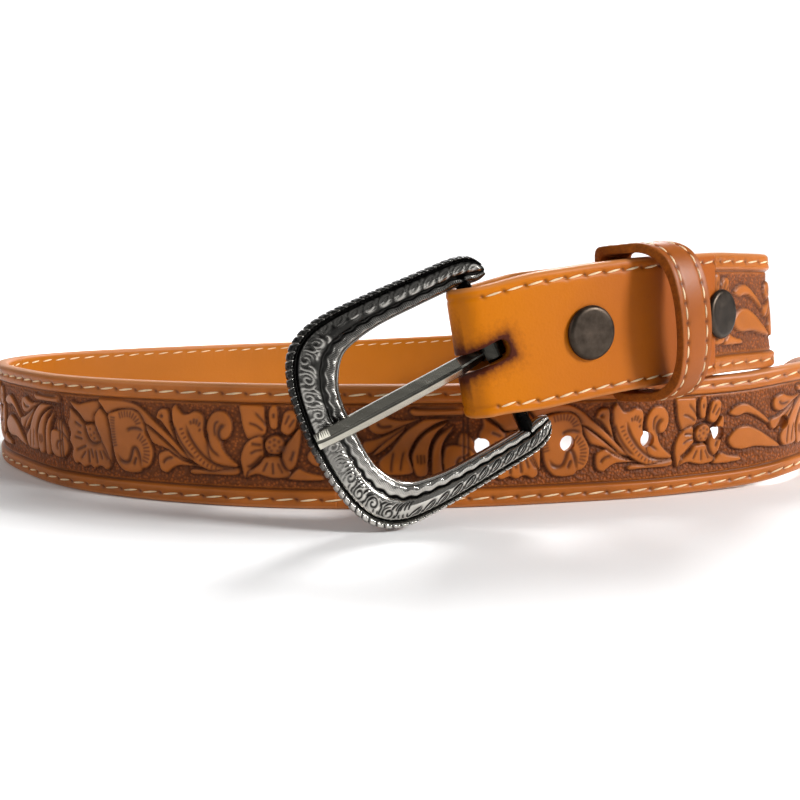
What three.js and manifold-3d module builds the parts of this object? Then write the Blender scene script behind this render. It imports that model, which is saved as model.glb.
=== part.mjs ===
// Western tooled leather belt, coiled into one loop that stands on its lower edge.
// Millimetres, +Z up. The buckle and the tooled front of the loop look toward -Y.
import * as THREE from 'three';
import Module from 'manifold-3d';
import { mergeVertices } from 'three/addons/utils/BufferGeometryUtils.js';

// Strap
const STRAP_WIDTH = 38;
const FOLD_WIDTH = 33.6;
const STRAP_THICKNESS = 4.6;
const BILLET_THICKNESS = 3.4;
const FOLD_THICKNESS = 3.0;
const FLAP_END_THICKNESS = 1.8;
const EDGE_ROUND = 1.5;
const BORDER_WIDTH = 5.6;
const GROOVE_RAMP = 0.7;
const TOOLED_RECESS = 0.9;
const TIP_LENGTH = 34;
const SECTION_PITCH = 10;

// Coiled loop in plan
const LOOP_WIDTH = 310;
const LOOP_DEPTH = 240;

// Distances along the strap, measured from the buckle end of the table of its way round
const FOLD_AT = 5.0;
const WIDEN_LENGTH = 18;
const FRAME_LINE_BLEND = 8;
const FIRST_SNAP_AT = 43.7;
const KEEPER_AT = 61;
const FRAME_LINE_AT = 94;
const SECOND_SNAP_AT = 96.6;
const FLAP_END_AT = 109;
const LAST_HOLE_FROM_TIP = 80;
const HOLE_PITCH = 27.2;
const HOLE_COUNT = 5;
const HOLE_DIAMETER = 4.4;

// Fold round the buckle bar
const POCKET_GAP = 7.2;
const POCKET_LENGTH = 25;
const POCKET_END = 36.5;
const LAYER_GAP = 0.4;
const FOLD_STEPS = 8;
const POCKET_STEPS = 4;
const SKIVE_LENGTH = 14;
const SLOT_LENGTH = 16;
const SLOT_PAST_BAR = 3.0;
const SLOT_WIDTH = 7.6;
const BAR_FROM_FOLD = 15.5;
const BAR_SKEW = 15.8;
const BAR_TILT = 3.0;
const BAR_DROP = 2.7;

// Keeper
const KEEPER_WIDTH = 11;
const KEEPER_WALL = 2.6;
const KEEPER_FRONT_ROOM = 8.5;
const KEEPER_CLEARANCE = 0.9;
const KEEPER_RACK = 10.5;
const KEEPER_LEAN = 5;
const KEEPER_STEPS = 44;
const FRONT_SQUARENESS = 2.15;
const BACK_SQUARENESS = 9;

// Snaps
const CAP_DIAMETER = 15.4;
const CAP_HEIGHT = 1.5;
const STUD_DIAMETER = 11;
const STUD_HEIGHT = 1.3;
const POST_DIAMETER = 3.6;
const FIT_GAP = 0.3;
const SNAP_SIDES = 28;

// Buckle
const FRAME_REACH = 59;
const FRAME_HALF = 31.4;
const FRAME_TURN = 12.5;
const ARM_PAST_BAR = 2.2;
const FRAME_BACK = -2.0;
const FRAME_CROWN = 2.9;
const BAR_DIAMETER = 4.2;
const ROPE_PITCH = 2.4;
const ROPE_NOTCH = 0.5;
const BAR_SIDES = 20;
const PRONG_WIDTH = 6;
const PRONG_HEIGHT = 3.0;
const PRONG_EYE_WALL = 1.3;
const PRONG_REACH = 54.5;
const EYE_SIDES = 24;

const COLOURS = {
  strap: { color: 0xc46a22, roughness: 0.45, metalness: 0 },
  keeper: { color: 0xc07030, roughness: 0.5, metalness: 0 },
  frame: { color: 0xb9b5ab, roughness: 0.3, metalness: 1 },
  prong: { color: 0xcfc9ba, roughness: 0.25, metalness: 1 },
  snap: { color: 0x3b3936, roughness: 0.4, metalness: 1 },
};

// The strap's way round the loop, on its outer face at mid width, from the tip to the fold.
// across: share of LOOP_WIDTH, back: share of LOOP_DEPTH, rise: share of STRAP_WIDTH under the
// lower edge, lean: degrees that the upper edge leans to the inside.
const PATH_ROWS = [
  { across: 0.514, back: 0.512, rise: 0.05, lean: 0 },
  { across: 0.519, back: 0.468, rise: 0.06, lean: 0 },
  { across: 0.514, back: 0.406, rise: 0.07, lean: 0 },
  { across: 0.500, back: 0.348, rise: 0.08, lean: 0 },
  { across: 0.478, back: 0.294, rise: 0.09, lean: 0 },
  { across: 0.450, back: 0.254, rise: 0.09, lean: 0 },
  { across: 0.417, back: 0.223, rise: 0.075, lean: 0 },
  { across: 0.382, back: 0.206, rise: 0.04, lean: 0 },
  { across: 0.318, back: 0.180, rise: 0.01, lean: 0 },
  { across: 0.247, back: 0.152, rise: 0, lean: 0 },
  { across: 0.195, back: 0.137, rise: 0, lean: 0 },
  { across: 0.115, back: 0.117, rise: 0, lean: 0 },
  { across: 0.039, back: 0.104, rise: 0, lean: 0 },
  { across: -0.098, back: 0.102, rise: 0, lean: 0 },
  { across: -0.221, back: 0.130, rise: 0, lean: 0 },
  { across: -0.311, back: 0.172, rise: 0, lean: 0 },
  { across: -0.376, back: 0.220, rise: 0, lean: 0 },
  { across: -0.444, back: 0.299, rise: 0, lean: 0 },
  { across: -0.487, back: 0.360, rise: 0, lean: 0 },
  { across: -0.519, back: 0.428, rise: 0, lean: 0 },
  { across: -0.535, back: 0.500, rise: 0, lean: 0 },
  { across: -0.526, back: 0.580, rise: 0, lean: 0 },
  { across: -0.497, back: 0.646, rise: 0, lean: 0 },
  { across: -0.448, back: 0.713, rise: 0, lean: 0 },
  { across: -0.365, back: 0.800, rise: 0, lean: 0 },
  { across: -0.213, back: 0.928, rise: 0, lean: 0 },
  { across: -0.084, back: 0.990, rise: 0.015, lean: 0 },
  { across: 0.039, back: 1.000, rise: 0.058, lean: 1 },
  { across: 0.145, back: 0.966, rise: 0.125, lean: 2 },
  { across: 0.216, back: 0.892, rise: 0.24, lean: 4 },
  { across: 0.271, back: 0.795, rise: 0.39, lean: 6 },
  { across: 0.319, back: 0.680, rise: 0.57, lean: 8 },
  { across: 0.361, back: 0.555, rise: 0.76, lean: 10 },
  { across: 0.396, back: 0.430, rise: 0.92, lean: 10 },
  { across: 0.414, back: 0.345, rise: 1.01, lean: 9 },
  { across: 0.414, back: 0.285, rise: 1.05, lean: 8 },
  { across: 0.399, back: 0.238, rise: 1.055, lean: 6 },
  { across: 0.361, back: 0.202, rise: 1.05, lean: 4 },
  { across: 0.322, back: 0.164, rise: 1.04, lean: 2 },
  { across: 0.284, back: 0.128, rise: 1.015, lean: 0 },
  { across: 0.235, back: 0.094, rise: 0.985, lean: 0 },
  { across: 0.175, back: 0.062, rise: 0.925, lean: 0 },
  { across: 0.123, back: 0.035, rise: 0.86, lean: 0 },
  { across: 0.068, back: 0.012, rise: 0.783, lean: 0 },
  { across: 0.040, back: 0.003, rise: 0.738, lean: 0 },
];

// Buckle frame outline, from the upper arm's end to the middle of the bow.
// outX, inX: share of FRAME_REACH from the bar, outY, inY: share of FRAME_HALF from the middle,
// crown: share of FRAME_CROWN.
const FRAME_ROWS = [
  { outX: -0.076, outY: 0.80, inX: -0.076, inY: 0.69, crown: 0.72 },
  { outX: -0.048, outY: 0.885, inX: -0.036, inY: 0.672, crown: 0.82 },
  { outX: 0.022, outY: 0.945, inX: 0.03, inY: 0.69, crown: 0.92 },
  { outX: 0.135, outY: 0.965, inX: 0.135, inY: 0.705, crown: 1 },
  { outX: 0.336, outY: 0.985, inX: 0.303, inY: 0.71, crown: 1 },
  { outX: 0.555, outY: 1.0, inX: 0.487, inY: 0.705, crown: 1 },
  { outX: 0.69, outY: 0.998, inX: 0.588, inY: 0.676, crown: 1 },
  { outX: 0.807, outY: 0.955, inX: 0.664, inY: 0.633, crown: 1 },
  { outX: 0.891, outY: 0.855, inX: 0.711, inY: 0.552, crown: 1 },
  { outX: 0.945, outY: 0.69, inX: 0.75, inY: 0.43, crown: 1 },
  { outX: 0.982, outY: 0.424, inX: 0.773, inY: 0.267, crown: 1 },
  { outX: 1.0, outY: 0, inX: 0.78, inY: 0, crown: 1 },
];

// Frame section from the outer edge to the inner edge.
// across: share of the section's width, up: share of the crown, rope: share of ROPE_NOTCH.
const FRAME_SECTION = [
  { across: 0, up: 0.15, rope: 1 },
  { across: 0.05, up: 0.62, rope: 1 },
  { across: 0.13, up: 0.80, rope: 1 },
  { across: 0.21, up: 0.66, rope: 0.6 },
  { across: 0.25, up: 0.58, rope: 0 },
  { across: 0.34, up: 0.88, rope: 0 },
  { across: 0.55, up: 1, rope: 0 },
  { across: 0.82, up: 0.84, rope: 0 },
  { across: 0.95, up: 0.5, rope: 0 },
  { across: 1, up: 0, rope: 0 },
];

// Prong, side view. along: share of PRONG_REACH from the bar, up: mm above the bar's middle,
// wide: share of PRONG_WIDTH, high: share of PRONG_HEIGHT.
const PRONG_ROWS = [
  { along: 0.02, up: 1.7, wide: 0.92, high: 0.6 },
  { along: 0.115, up: 1.9, wide: 0.94, high: 0.6 },
  { along: 0.20, up: 3.2, wide: 1, high: 0.9 },
  { along: 0.40, up: 4.1, wide: 1, high: 1 },
  { along: 0.66, up: 5.0, wide: 1, high: 1 },
  { along: 0.82, up: 5.5, wide: 0.98, high: 1 },
  { along: 0.93, up: 5.5, wide: 0.94, high: 0.9 },
  { along: 1.0, up: 5.0, wide: 0.86, high: 0.55 },
];

const wasm = await Module();
wasm.setup();

const clamp = (x, lo, hi) => Math.min(hi, Math.max(lo, x));
const mix = (a, b, t) => a + (b - a) * t;
const smooth = (t) => {
  const c = clamp(t, 0, 1);
  return c * c * (3 - 2 * c);
};

// Natural cubic spline through rows of numbers, on the summed distance of its first columns.
function splineThrough(rows, measured) {
  const knots = [0];
  for (let i = 1; i < rows.length; i += 1) {
    let sum = 0;
    for (let k = 0; k < measured; k += 1) sum += (rows[i][k] - rows[i - 1][k]) ** 2;
    knots.push(knots[i - 1] + Math.sqrt(sum));
  }
  const last = rows.length - 1;
  const curves = rows[0].map((_, k) => {
    const bend = new Array(rows.length).fill(0);
    const ratio = new Array(rows.length).fill(0);
    const carry = new Array(rows.length).fill(0);
    for (let i = 1; i < last; i += 1) {
      const before = knots[i] - knots[i - 1];
      const after = knots[i + 1] - knots[i];
      const turn = 6 * ((rows[i + 1][k] - rows[i][k]) / after - (rows[i][k] - rows[i - 1][k]) / before);
      const pivot = 2 * (before + after) - before * ratio[i - 1];
      ratio[i] = after / pivot;
      carry[i] = (turn - before * carry[i - 1]) / pivot;
    }
    for (let i = last - 1; i > 0; i -= 1) bend[i] = carry[i] - ratio[i] * bend[i + 1];
    return bend;
  });
  const valueAt = (t) => {
    let i = 1;
    while (i < last && knots[i] < t) i += 1;
    const span = knots[i] - knots[i - 1];
    const a = (knots[i] - t) / span;
    const b = (t - knots[i - 1]) / span;
    return curves.map((bend, k) => a * rows[i - 1][k] + b * rows[i][k]
      + ((a ** 3 - a) * bend[i - 1] + (b ** 3 - b) * bend[i]) * span * span / 6);
  };
  return { length: knots[last], valueAt };
}

// The strap's outer face as stations, counted by true length from the fold.
function buildPath() {
  const rows = PATH_ROWS.map((r) => [
    r.across * LOOP_WIDTH, r.back * LOOP_DEPTH, (r.rise + 0.5) * STRAP_WIDTH, r.lean,
  ]);
  const curve = splineThrough(rows, 3);
  const fine = [];
  const count = 1600;
  for (let i = 0; i <= count; i += 1) fine.push(curve.valueAt(curve.length * (1 - i / count)));
  const run = [0];
  for (let i = 1; i <= count; i += 1) {
    run.push(run[i - 1] + Math.hypot(...[0, 1, 2].map((k) => fine[i][k] - fine[i - 1][k])));
  }
  const total = run[count];
  const pointAt = (s) => {
    const want = clamp(s, 0, total);
    let lo = 0;
    let hi = count;
    while (hi - lo > 1) {
      const mid = (lo + hi) >> 1;
      if (run[mid] <= want) lo = mid;
      else hi = mid;
    }
    const t = (want - run[lo]) / (run[hi] - run[lo]);
    return fine[lo].map((v, k) => mix(v, fine[hi][k], t));
  };
  const stationAt = (s) => {
    const here = pointAt(s);
    const a = pointAt(s - 1.5);
    const b = pointAt(s + 1.5);
    const along = new THREE.Vector3(b[0] - a[0], b[1] - a[1], b[2] - a[2]).normalize();
    const flat = new THREE.Vector3(along.y, -along.x, 0).normalize();
    const lean = THREE.MathUtils.degToRad(-here[3]);
    const out = flat.clone().applyAxisAngle(along, lean).normalize();
    const up = new THREE.Vector3().crossVectors(out, along).normalize();
    return { at: new THREE.Vector3(here[0], here[1], here[2]), along, out, up };
  };
  return { total, stationAt };
}

const path = buildPath();

// Point of the strap's own space: s along it, w across it, n out of its outer face.
function placed(s, w, n) {
  const st = path.stationAt(s);
  return st.at.clone().addScaledVector(st.up, w).addScaledVector(st.out, n);
}

const thicknessAt = (s) => {
  const billet = mix(FOLD_THICKNESS, BILLET_THICKNESS, smooth(s / POCKET_END));
  return mix(billet, STRAP_THICKNESS, smooth((s - FRAME_LINE_AT) / FRAME_LINE_BLEND + 1));
};

// Middle of the fold's bend, where the strap starts to turn back.
const foldCentreAt = FOLD_AT + POCKET_GAP / 2 + FOLD_THICKNESS;

const halfWidthAt = (s) => {
  const left = path.total - s;
  if (left > TIP_LENGTH) {
    return mix(FOLD_WIDTH, STRAP_WIDTH, smooth((s - foldCentreAt) / WIDEN_LENGTH)) / 2;
  }
  const share = 1 - left / TIP_LENGTH;
  return (STRAP_WIDTH / 2) * Math.sqrt(Math.max(0.02, 1 - share ** 2.2));
};

// Outline of the strap's section: half width, thickness and depth of the tooled band.
function strapSection(half, thick, recess) {
  const e = Math.min(EDGE_ROUND, thick * 0.42, half * 0.4);
  const band = Math.max(half - BORDER_WIDTH, half * 0.3);
  const ramp = Math.min(GROOVE_RAMP, band * 0.3);
  const upper = [
    [band - ramp, -recess],
    [band, 0],
    [half - e, 0],
    [half - 0.3 * e, -0.3 * e],
    [half, -e],
    [half, -thick + e],
    [half - 0.3 * e, -thick + 0.3 * e],
    [half - e, -thick],
  ];
  const lower = upper.map(([w, n]) => [-w, n]).reverse();
  return upper.concat(lower);
}

// Closed solid through a run of rings of points, capped flat at both ends.
function skin(rings, closedLoop = false) {
  const size = rings[0].length;
  const points = [];
  const faces = [];
  rings.forEach((ring) => ring.forEach((p) => points.push(p.x, p.y, p.z)));
  const spans = closedLoop ? rings.length : rings.length - 1;
  for (let i = 0; i < spans; i += 1) {
    const j = (i + 1) % rings.length;
    for (let k = 0; k < size; k += 1) {
      const m = (k + 1) % size;
      faces.push(i * size + k, j * size + k, j * size + m);
      faces.push(i * size + k, j * size + m, i * size + m);
    }
  }
  if (!closedLoop) {
    const ends = [[rings[0], 0, false], [rings.at(-1), points.length / 3 - size, true]];
    for (const [ring, first, flip] of ends) {
      const hub = points.length / 3;
      const mid = ring.reduce((sum, p) => sum.add(p), new THREE.Vector3()).divideScalar(size);
      points.push(mid.x, mid.y, mid.z);
      for (let k = 0; k < size; k += 1) {
        const m = (k + 1) % size;
        faces.push(hub, first + (flip ? m : k), first + (flip ? k : m));
      }
    }
  }
  const geometry = new THREE.BufferGeometry();
  geometry.setAttribute('position', new THREE.Float32BufferAttribute(points, 3));
  geometry.setIndex(faces);
  return geometry;
}

function toManifold(geometry) {
  const bare = new THREE.BufferGeometry();
  bare.setAttribute('position', geometry.getAttribute('position').clone());
  if (geometry.index) bare.setIndex(geometry.index.clone());
  const merged = mergeVertices(bare, 1e-4);
  const solid = new wasm.Manifold(new wasm.Mesh({
    numProp: 3,
    vertProperties: new Float32Array(merged.attributes.position.array),
    triVerts: new Uint32Array(merged.index.array),
  }));
  return solid;
}

// A manifold whichever way round the skin was wound.
function toSolid(geometry) {
  const solid = toManifold(geometry);
  if (solid.volume() > 0) return solid;
  const turned = geometry.clone();
  const order = Array.from(turned.index.array);
  for (let i = 0; i < order.length; i += 3) [order[i + 1], order[i + 2]] = [order[i + 2], order[i + 1]];
  turned.setIndex(order);
  return toManifold(turned);
}

function toGeometry(solid) {
  const mesh = solid.getMesh();
  const geometry = new THREE.BufferGeometry();
  geometry.setAttribute('position', new THREE.Float32BufferAttribute(mesh.vertProperties, 3));
  geometry.setIndex(Array.from(mesh.triVerts));
  return geometry;
}

// Round rod between two points.
function rod(a, b, radius, sides) {
  const axis = b.clone().sub(a);
  const geometry = new THREE.CylinderGeometry(radius, radius, axis.length(), sides);
  const turn = new THREE.Quaternion().setFromUnitVectors(
    new THREE.Vector3(0, 1, 0), axis.clone().normalize());
  geometry.applyQuaternion(turn);
  geometry.translate(...a.clone().add(b).multiplyScalar(0.5).toArray());
  return geometry;
}

// Gap between the strap and the flap folded behind it, by distance from the fold.
const layerGapAt = (s) => {
  const closed = smooth((s - POCKET_LENGTH) / (POCKET_END - POCKET_LENGTH));
  return mix(POCKET_GAP, LAYER_GAP, closed);
};

function strapRings() {
  const rings = [];
  const foldInner = POCKET_GAP / 2;
  const foldOuter = foldInner + FOLD_THICKNESS;
  const straight = foldCentreAt;
  const count = Math.round((path.total - straight) / SECTION_PITCH);
  const ringFrom = (at, up, out, section) => section.map(([w, n]) => at.clone()
    .addScaledVector(up, w).addScaledVector(out, n));
  const marks = [];
  for (let i = 0; i <= count; i += 1) marks.push(mix(path.total, straight, i / count));
  marks.push(FRAME_LINE_AT - 0.6, FRAME_LINE_AT + 0.6);
  for (const left of [1.2, 3.2, 6, 11, 20]) marks.push(path.total - left);
  marks.push(mix(straight, POCKET_LENGTH, 0.6));
  for (let i = 0; i <= POCKET_STEPS; i += 1) marks.push(mix(POCKET_LENGTH, POCKET_END, i / POCKET_STEPS));
  marks.push(FLAP_END_AT);
  marks.sort((a, b) => b - a);
  const kept = [];
  let previous = Infinity;
  for (const s of marks) {
    if (previous - s < 0.9) continue;
    previous = s;
    kept.push(s);
    const st = path.stationAt(s);
    const half = halfWidthAt(s);
    const nearTip = smooth((path.total - s - 5) / 6);
    const recess = s > FRAME_LINE_AT ? TOOLED_RECESS * nearTip : 0;
    rings.push(ringFrom(st.at, st.up, st.out, strapSection(half, thicknessAt(s), recess)));
  }
  const start = path.stationAt(straight);
  const centre = start.at.clone().addScaledVector(start.out, -foldOuter);
  for (let i = 1; i < FOLD_STEPS; i += 1) {
    const turn = Math.PI * (i / FOLD_STEPS);
    const out = start.out.clone().applyAxisAngle(start.up, -turn);
    const at = centre.clone().addScaledVector(out, foldOuter);
    rings.push(ringFrom(at, start.up, out, strapSection(FOLD_WIDTH / 2, FOLD_THICKNESS, 0)));
  }
  const flapMarks = kept.filter((s) => s <= FLAP_END_AT).reverse();
  for (const s of flapMarks) {
    const st = path.stationAt(s);
    const thick = mix(FOLD_THICKNESS, FLAP_END_THICKNESS, smooth((s - FLAP_END_AT) / SKIVE_LENGTH + 1));
    const depth = thicknessAt(s) + layerGapAt(s) + thick;
    const at = st.at.clone().addScaledVector(st.out, -depth);
    rings.push(ringFrom(at, st.up, st.out.clone().negate(), strapSection(halfWidthAt(s), thick, 0)));
  }
  return rings;
}

// Where the bar runs: middle, direction up along the bar, and the frame's own two other axes.
function buckleAxes() {
  const st = path.stationAt(BAR_FROM_FOLD);
  const skew = THREE.MathUtils.degToRad(BAR_SKEW);
  const tilt = THREE.MathUtils.degToRad(BAR_TILT);
  const bar = st.up.clone().multiplyScalar(Math.cos(skew)).addScaledVector(st.along, -Math.sin(skew));
  bar.addScaledVector(st.out, -Math.sin(tilt)).normalize();
  const reach = new THREE.Vector3(-bar.z, 0, bar.x).normalize();
  reach.applyAxisAngle(bar, THREE.MathUtils.degToRad(FRAME_TURN)).normalize();
  const face = new THREE.Vector3().crossVectors(bar, reach).normalize();
  const middle = st.at.clone()
    .addScaledVector(st.out, -(thicknessAt(BAR_FROM_FOLD) + POCKET_GAP / 2))
    .addScaledVector(bar, -BAR_DROP);
  return { middle, bar, reach, face, station: st };
}

const buckle = buckleAxes();

function fromBuckle(x, y, z) {
  return buckle.middle.clone().addScaledVector(buckle.reach, x)
    .addScaledVector(buckle.bar, y).addScaledVector(buckle.face, z);
}

function strapSolid() {
  let solid = toSolid(skin(strapRings()));
  const st = buckle.station;
  const slotWay = buckle.reach.clone()
    .addScaledVector(st.out, -buckle.reach.dot(st.out)).normalize();
  const slotUp = new THREE.Vector3().crossVectors(st.out, slotWay).normalize();
  const slot = new THREE.BoxGeometry(SLOT_LENGTH * 2, SLOT_WIDTH, POCKET_GAP * 6);
  const turn = new THREE.Matrix4().makeBasis(slotWay, slotUp, st.out);
  slot.applyMatrix4(turn);
  const slotMid = fromBuckle(0, BAR_DROP, 0).addScaledVector(slotWay, SLOT_LENGTH - SLOT_PAST_BAR);
  slot.translate(slotMid.x, slotMid.y, slotMid.z);
  solid = solid.subtract(toSolid(slot));
  for (const s of holeMarks()) {
    const cutter = rod(placed(s, 0, 3), placed(s, 0, -STRAP_THICKNESS - 3), HOLE_DIAMETER / 2, 20);
    solid = solid.subtract(toSolid(cutter));
  }
  for (const s of [FIRST_SNAP_AT, SECOND_SNAP_AT]) {
    const deep = thicknessAt(s) + LAYER_GAP + FOLD_THICKNESS + 3;
    const cutter = rod(placed(s, 0, 3), placed(s, 0, -deep), POST_DIAMETER / 2 + FIT_GAP, 16);
    solid = solid.subtract(toSolid(cutter));
  }
  return solid;
}

function holeMarks() {
  const marks = [];
  for (let i = 0; i < HOLE_COUNT; i += 1) {
    marks.push(path.total - LAST_HOLE_FROM_TIP - i * HOLE_PITCH);
  }
  return marks;
}

// Leather ring round both layers, standing open in front for the belt's tip.
function keeperGeometry() {
  const stack = thicknessAt(KEEPER_AT) + LAYER_GAP + FOLD_THICKNESS + KEEPER_CLEARANCE;
  const backIn = -stack;
  const frontIn = KEEPER_FRONT_ROOM;
  const halfIn = STRAP_WIDTH / 2 + KEEPER_CLEARANCE + 0.6;
  const rings = [];
  for (let i = 0; i < KEEPER_STEPS; i += 1) {
    const turn = (i / KEEPER_STEPS) * Math.PI * 2;
    const c = Math.cos(turn);
    const d = Math.sin(turn);
    const front = c > 0;
    const power = front ? FRONT_SQUARENESS : BACK_SQUARENESS;
    const reachOut = (Math.abs(c) ** power + Math.abs(d) ** power) ** (-1 / power);
    const depthIn = front ? frontIn : -backIn;
    const wIn = halfIn * d * reachOut;
    const nIn = depthIn * c * reachOut;
    const wOut = (halfIn + KEEPER_WALL) * d * reachOut;
    const nOut = (depthIn + KEEPER_WALL) * c * reachOut;
    const ring = [];
    for (const [side, round] of [[-1, 0], [-1, 1], [1, 1], [1, 0]]) {
      const w = round ? wOut : wIn;
      const n = round ? nOut : nIn;
      const share = smooth((n - backIn) / (frontIn - backIn));
      const lean = -w * Math.tan(THREE.MathUtils.degToRad(KEEPER_LEAN));
      const s = KEEPER_AT + side * KEEPER_WIDTH / 2 + KEEPER_RACK * share + lean;
      ring.push(placed(s, w, n));
    }
    rings.push(ring);
  }
  return skin(rings, true);
}

// Round snap part from a profile of radius and height, standing on the strap's face or back.
function snapPart(profile, s, depth, facing) {
  const st = path.stationAt(s);
  const points = profile.map(([r, z]) => new THREE.Vector2(r, z));
  const geometry = new THREE.LatheGeometry(points, SNAP_SIDES);
  const axis = st.out.clone().multiplyScalar(facing);
  const turn = new THREE.Quaternion().setFromUnitVectors(new THREE.Vector3(0, 1, 0), axis);
  geometry.applyQuaternion(turn);
  const foot = placed(s, 0, depth);
  geometry.translate(foot.x, foot.y, foot.z);
  return geometry;
}

function capGeometry(s) {
  const stack = thicknessAt(s) + LAYER_GAP + FOLD_THICKNESS;
  const r = CAP_DIAMETER / 2;
  const post = POST_DIAMETER / 2;
  const bottom = -(FIT_GAP + stack + FIT_GAP + STUD_HEIGHT * 0.6);
  const profile = [
    [0, bottom], [post, bottom], [post, 0], [r - 0.4, 0], [r, 0.35],
    [r - 0.25, CAP_HEIGHT * 0.72], [r - 1.1, CAP_HEIGHT], [0, CAP_HEIGHT],
  ];
  return snapPart(profile, s, FIT_GAP, 1);
}

function studGeometry(s) {
  const stack = thicknessAt(s) + LAYER_GAP + FOLD_THICKNESS;
  const r = STUD_DIAMETER / 2;
  const bore = POST_DIAMETER / 2 + FIT_GAP;
  const profile = [
    [bore, 0], [r, 0], [r, STUD_HEIGHT * 0.5], [r - 1, STUD_HEIGHT], [bore, STUD_HEIGHT], [bore, 0],
  ];
  return snapPart(profile, s, -(stack + FIT_GAP), -1);
}

function frameSolid() {
  const half = FRAME_ROWS.map((r) => [
    r.outX * FRAME_REACH - ARM_PAST_BAR, r.outY * FRAME_HALF,
    r.inX * FRAME_REACH - ARM_PAST_BAR, r.inY * FRAME_HALF, r.crown * FRAME_CROWN,
  ]);
  const mirrored = half.slice(0, -1).reverse().map(([ox, oy, ix, iy, c]) => [ox, -oy, ix, -iy, c]);
  const outline = splineThrough(half.concat(mirrored), 2);
  const count = 2 * Math.round(outline.length / ROPE_PITCH);
  const rings = [];
  for (let i = 0; i <= count; i += 1) {
    const [ox, oy, ix, iy, crown] = outline.valueAt(outline.length * (i / count));
    const notch = i % 2 === 0 ? ROPE_NOTCH : 0;
    const ring = FRAME_SECTION.map(({ across, up, rope }) => {
      const inset = rope * notch / Math.hypot(ix - ox, iy - oy);
      const share = across === 0 ? inset : across;
      const z = mix(0, crown, up) - (across > 0 ? rope * notch : 0);
      return fromBuckle(mix(ox, ix, share), mix(oy, iy, share), z);
    });
    ring.push(fromBuckle(mix(ox, ix, 0.96), mix(oy, iy, 0.96), FRAME_BACK));
    ring.push(fromBuckle(mix(ox, ix, 0.05), mix(oy, iy, 0.05), FRAME_BACK));
    rings.push(ring);
  }
  const barEnd = FRAME_HALF * 0.78;
  const bar = rod(fromBuckle(0, -barEnd, 0), fromBuckle(0, barEnd, 0), BAR_DIAMETER / 2, BAR_SIDES);
  return toSolid(skin(rings)).add(toSolid(bar));
}

function prongSolid() {
  const inner = BAR_DIAMETER / 2 + FIT_GAP;
  const outer = inner + PRONG_EYE_WALL;
  const half = PRONG_WIDTH * 0.46;
  const profile = [[inner, -half], [outer, -half], [outer, half], [inner, half], [inner, -half]];
  const eye = new THREE.LatheGeometry(profile.map(([r, y]) => new THREE.Vector2(r, y)), EYE_SIDES);
  const basis = new THREE.Matrix4().makeBasis(buckle.reach, buckle.bar, buckle.face);
  eye.applyMatrix4(basis);
  const middle = fromBuckle(0, BAR_DROP, 0);
  eye.translate(middle.x, middle.y, middle.z);
  const rings = PRONG_ROWS.map(({ along, up, wide, high }) => {
    const x = along * PRONG_REACH;
    const w = wide * PRONG_WIDTH / 2;
    const h = high * PRONG_HEIGHT / 2;
    const section = [[-w, -h], [-w, 0.1 * h], [-0.52 * w, h], [0.52 * w, h], [w, 0.1 * h], [w, -h]];
    return section.map(([y, z]) => fromBuckle(x, BAR_DROP + y, up + z));
  });
  const shank = toSolid(skin(rings));
  const bore = toSolid(rod(
    fromBuckle(0, BAR_DROP - PRONG_WIDTH, 0), fromBuckle(0, BAR_DROP + PRONG_WIDTH, 0), inner, EYE_SIDES));
  return toSolid(eye).add(shank).subtract(bore);
}

function named(name, geometry, look) {
  const mesh = new THREE.Mesh(geometry, new THREE.MeshStandardMaterial(COLOURS[look]));
  mesh.name = name;
  return mesh;
}

const belt = new THREE.Group();
belt.name = 'western_tooled_belt';
belt.add(named('strap', toGeometry(strapSolid()), 'strap'));
belt.add(named('keeper', toGeometry(toSolid(keeperGeometry())), 'keeper'));
belt.add(named('snap_cap_1', toGeometry(toSolid(capGeometry(FIRST_SNAP_AT))), 'snap'));
belt.add(named('snap_cap_2', toGeometry(toSolid(capGeometry(SECOND_SNAP_AT))), 'snap'));
belt.add(named('snap_stud_1', toGeometry(toSolid(studGeometry(FIRST_SNAP_AT))), 'snap'));
belt.add(named('snap_stud_2', toGeometry(toSolid(studGeometry(SECOND_SNAP_AT))), 'snap'));
belt.add(named('buckle_frame', toGeometry(frameSolid()), 'frame'));
belt.add(named('prong', toGeometry(prongSolid()), 'prong'));

// The origin is the middle of the object's own box, on the surface it stands on.
const box = new THREE.Box3().setFromObject(belt);
const shift = new THREE.Vector3(-(box.min.x + box.max.x) / 2, -(box.min.y + box.max.y) / 2, -box.min.z);
belt.children.forEach((mesh) => mesh.geometry.translate(shift.x, shift.y, shift.z));

export default belt;
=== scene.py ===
"""Dressed model of a western tooled leather belt, coiled into one loop on a pale floor.

The strap is laid along the same way round as the solids: s runs along it from the fold at the buckle,
w across it and n out of its outer face, all in millimetres until the last step.
"""

import math

import bmesh
import bpy
import numpy as np
from mathutils import Matrix, Vector, kdtree


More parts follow.
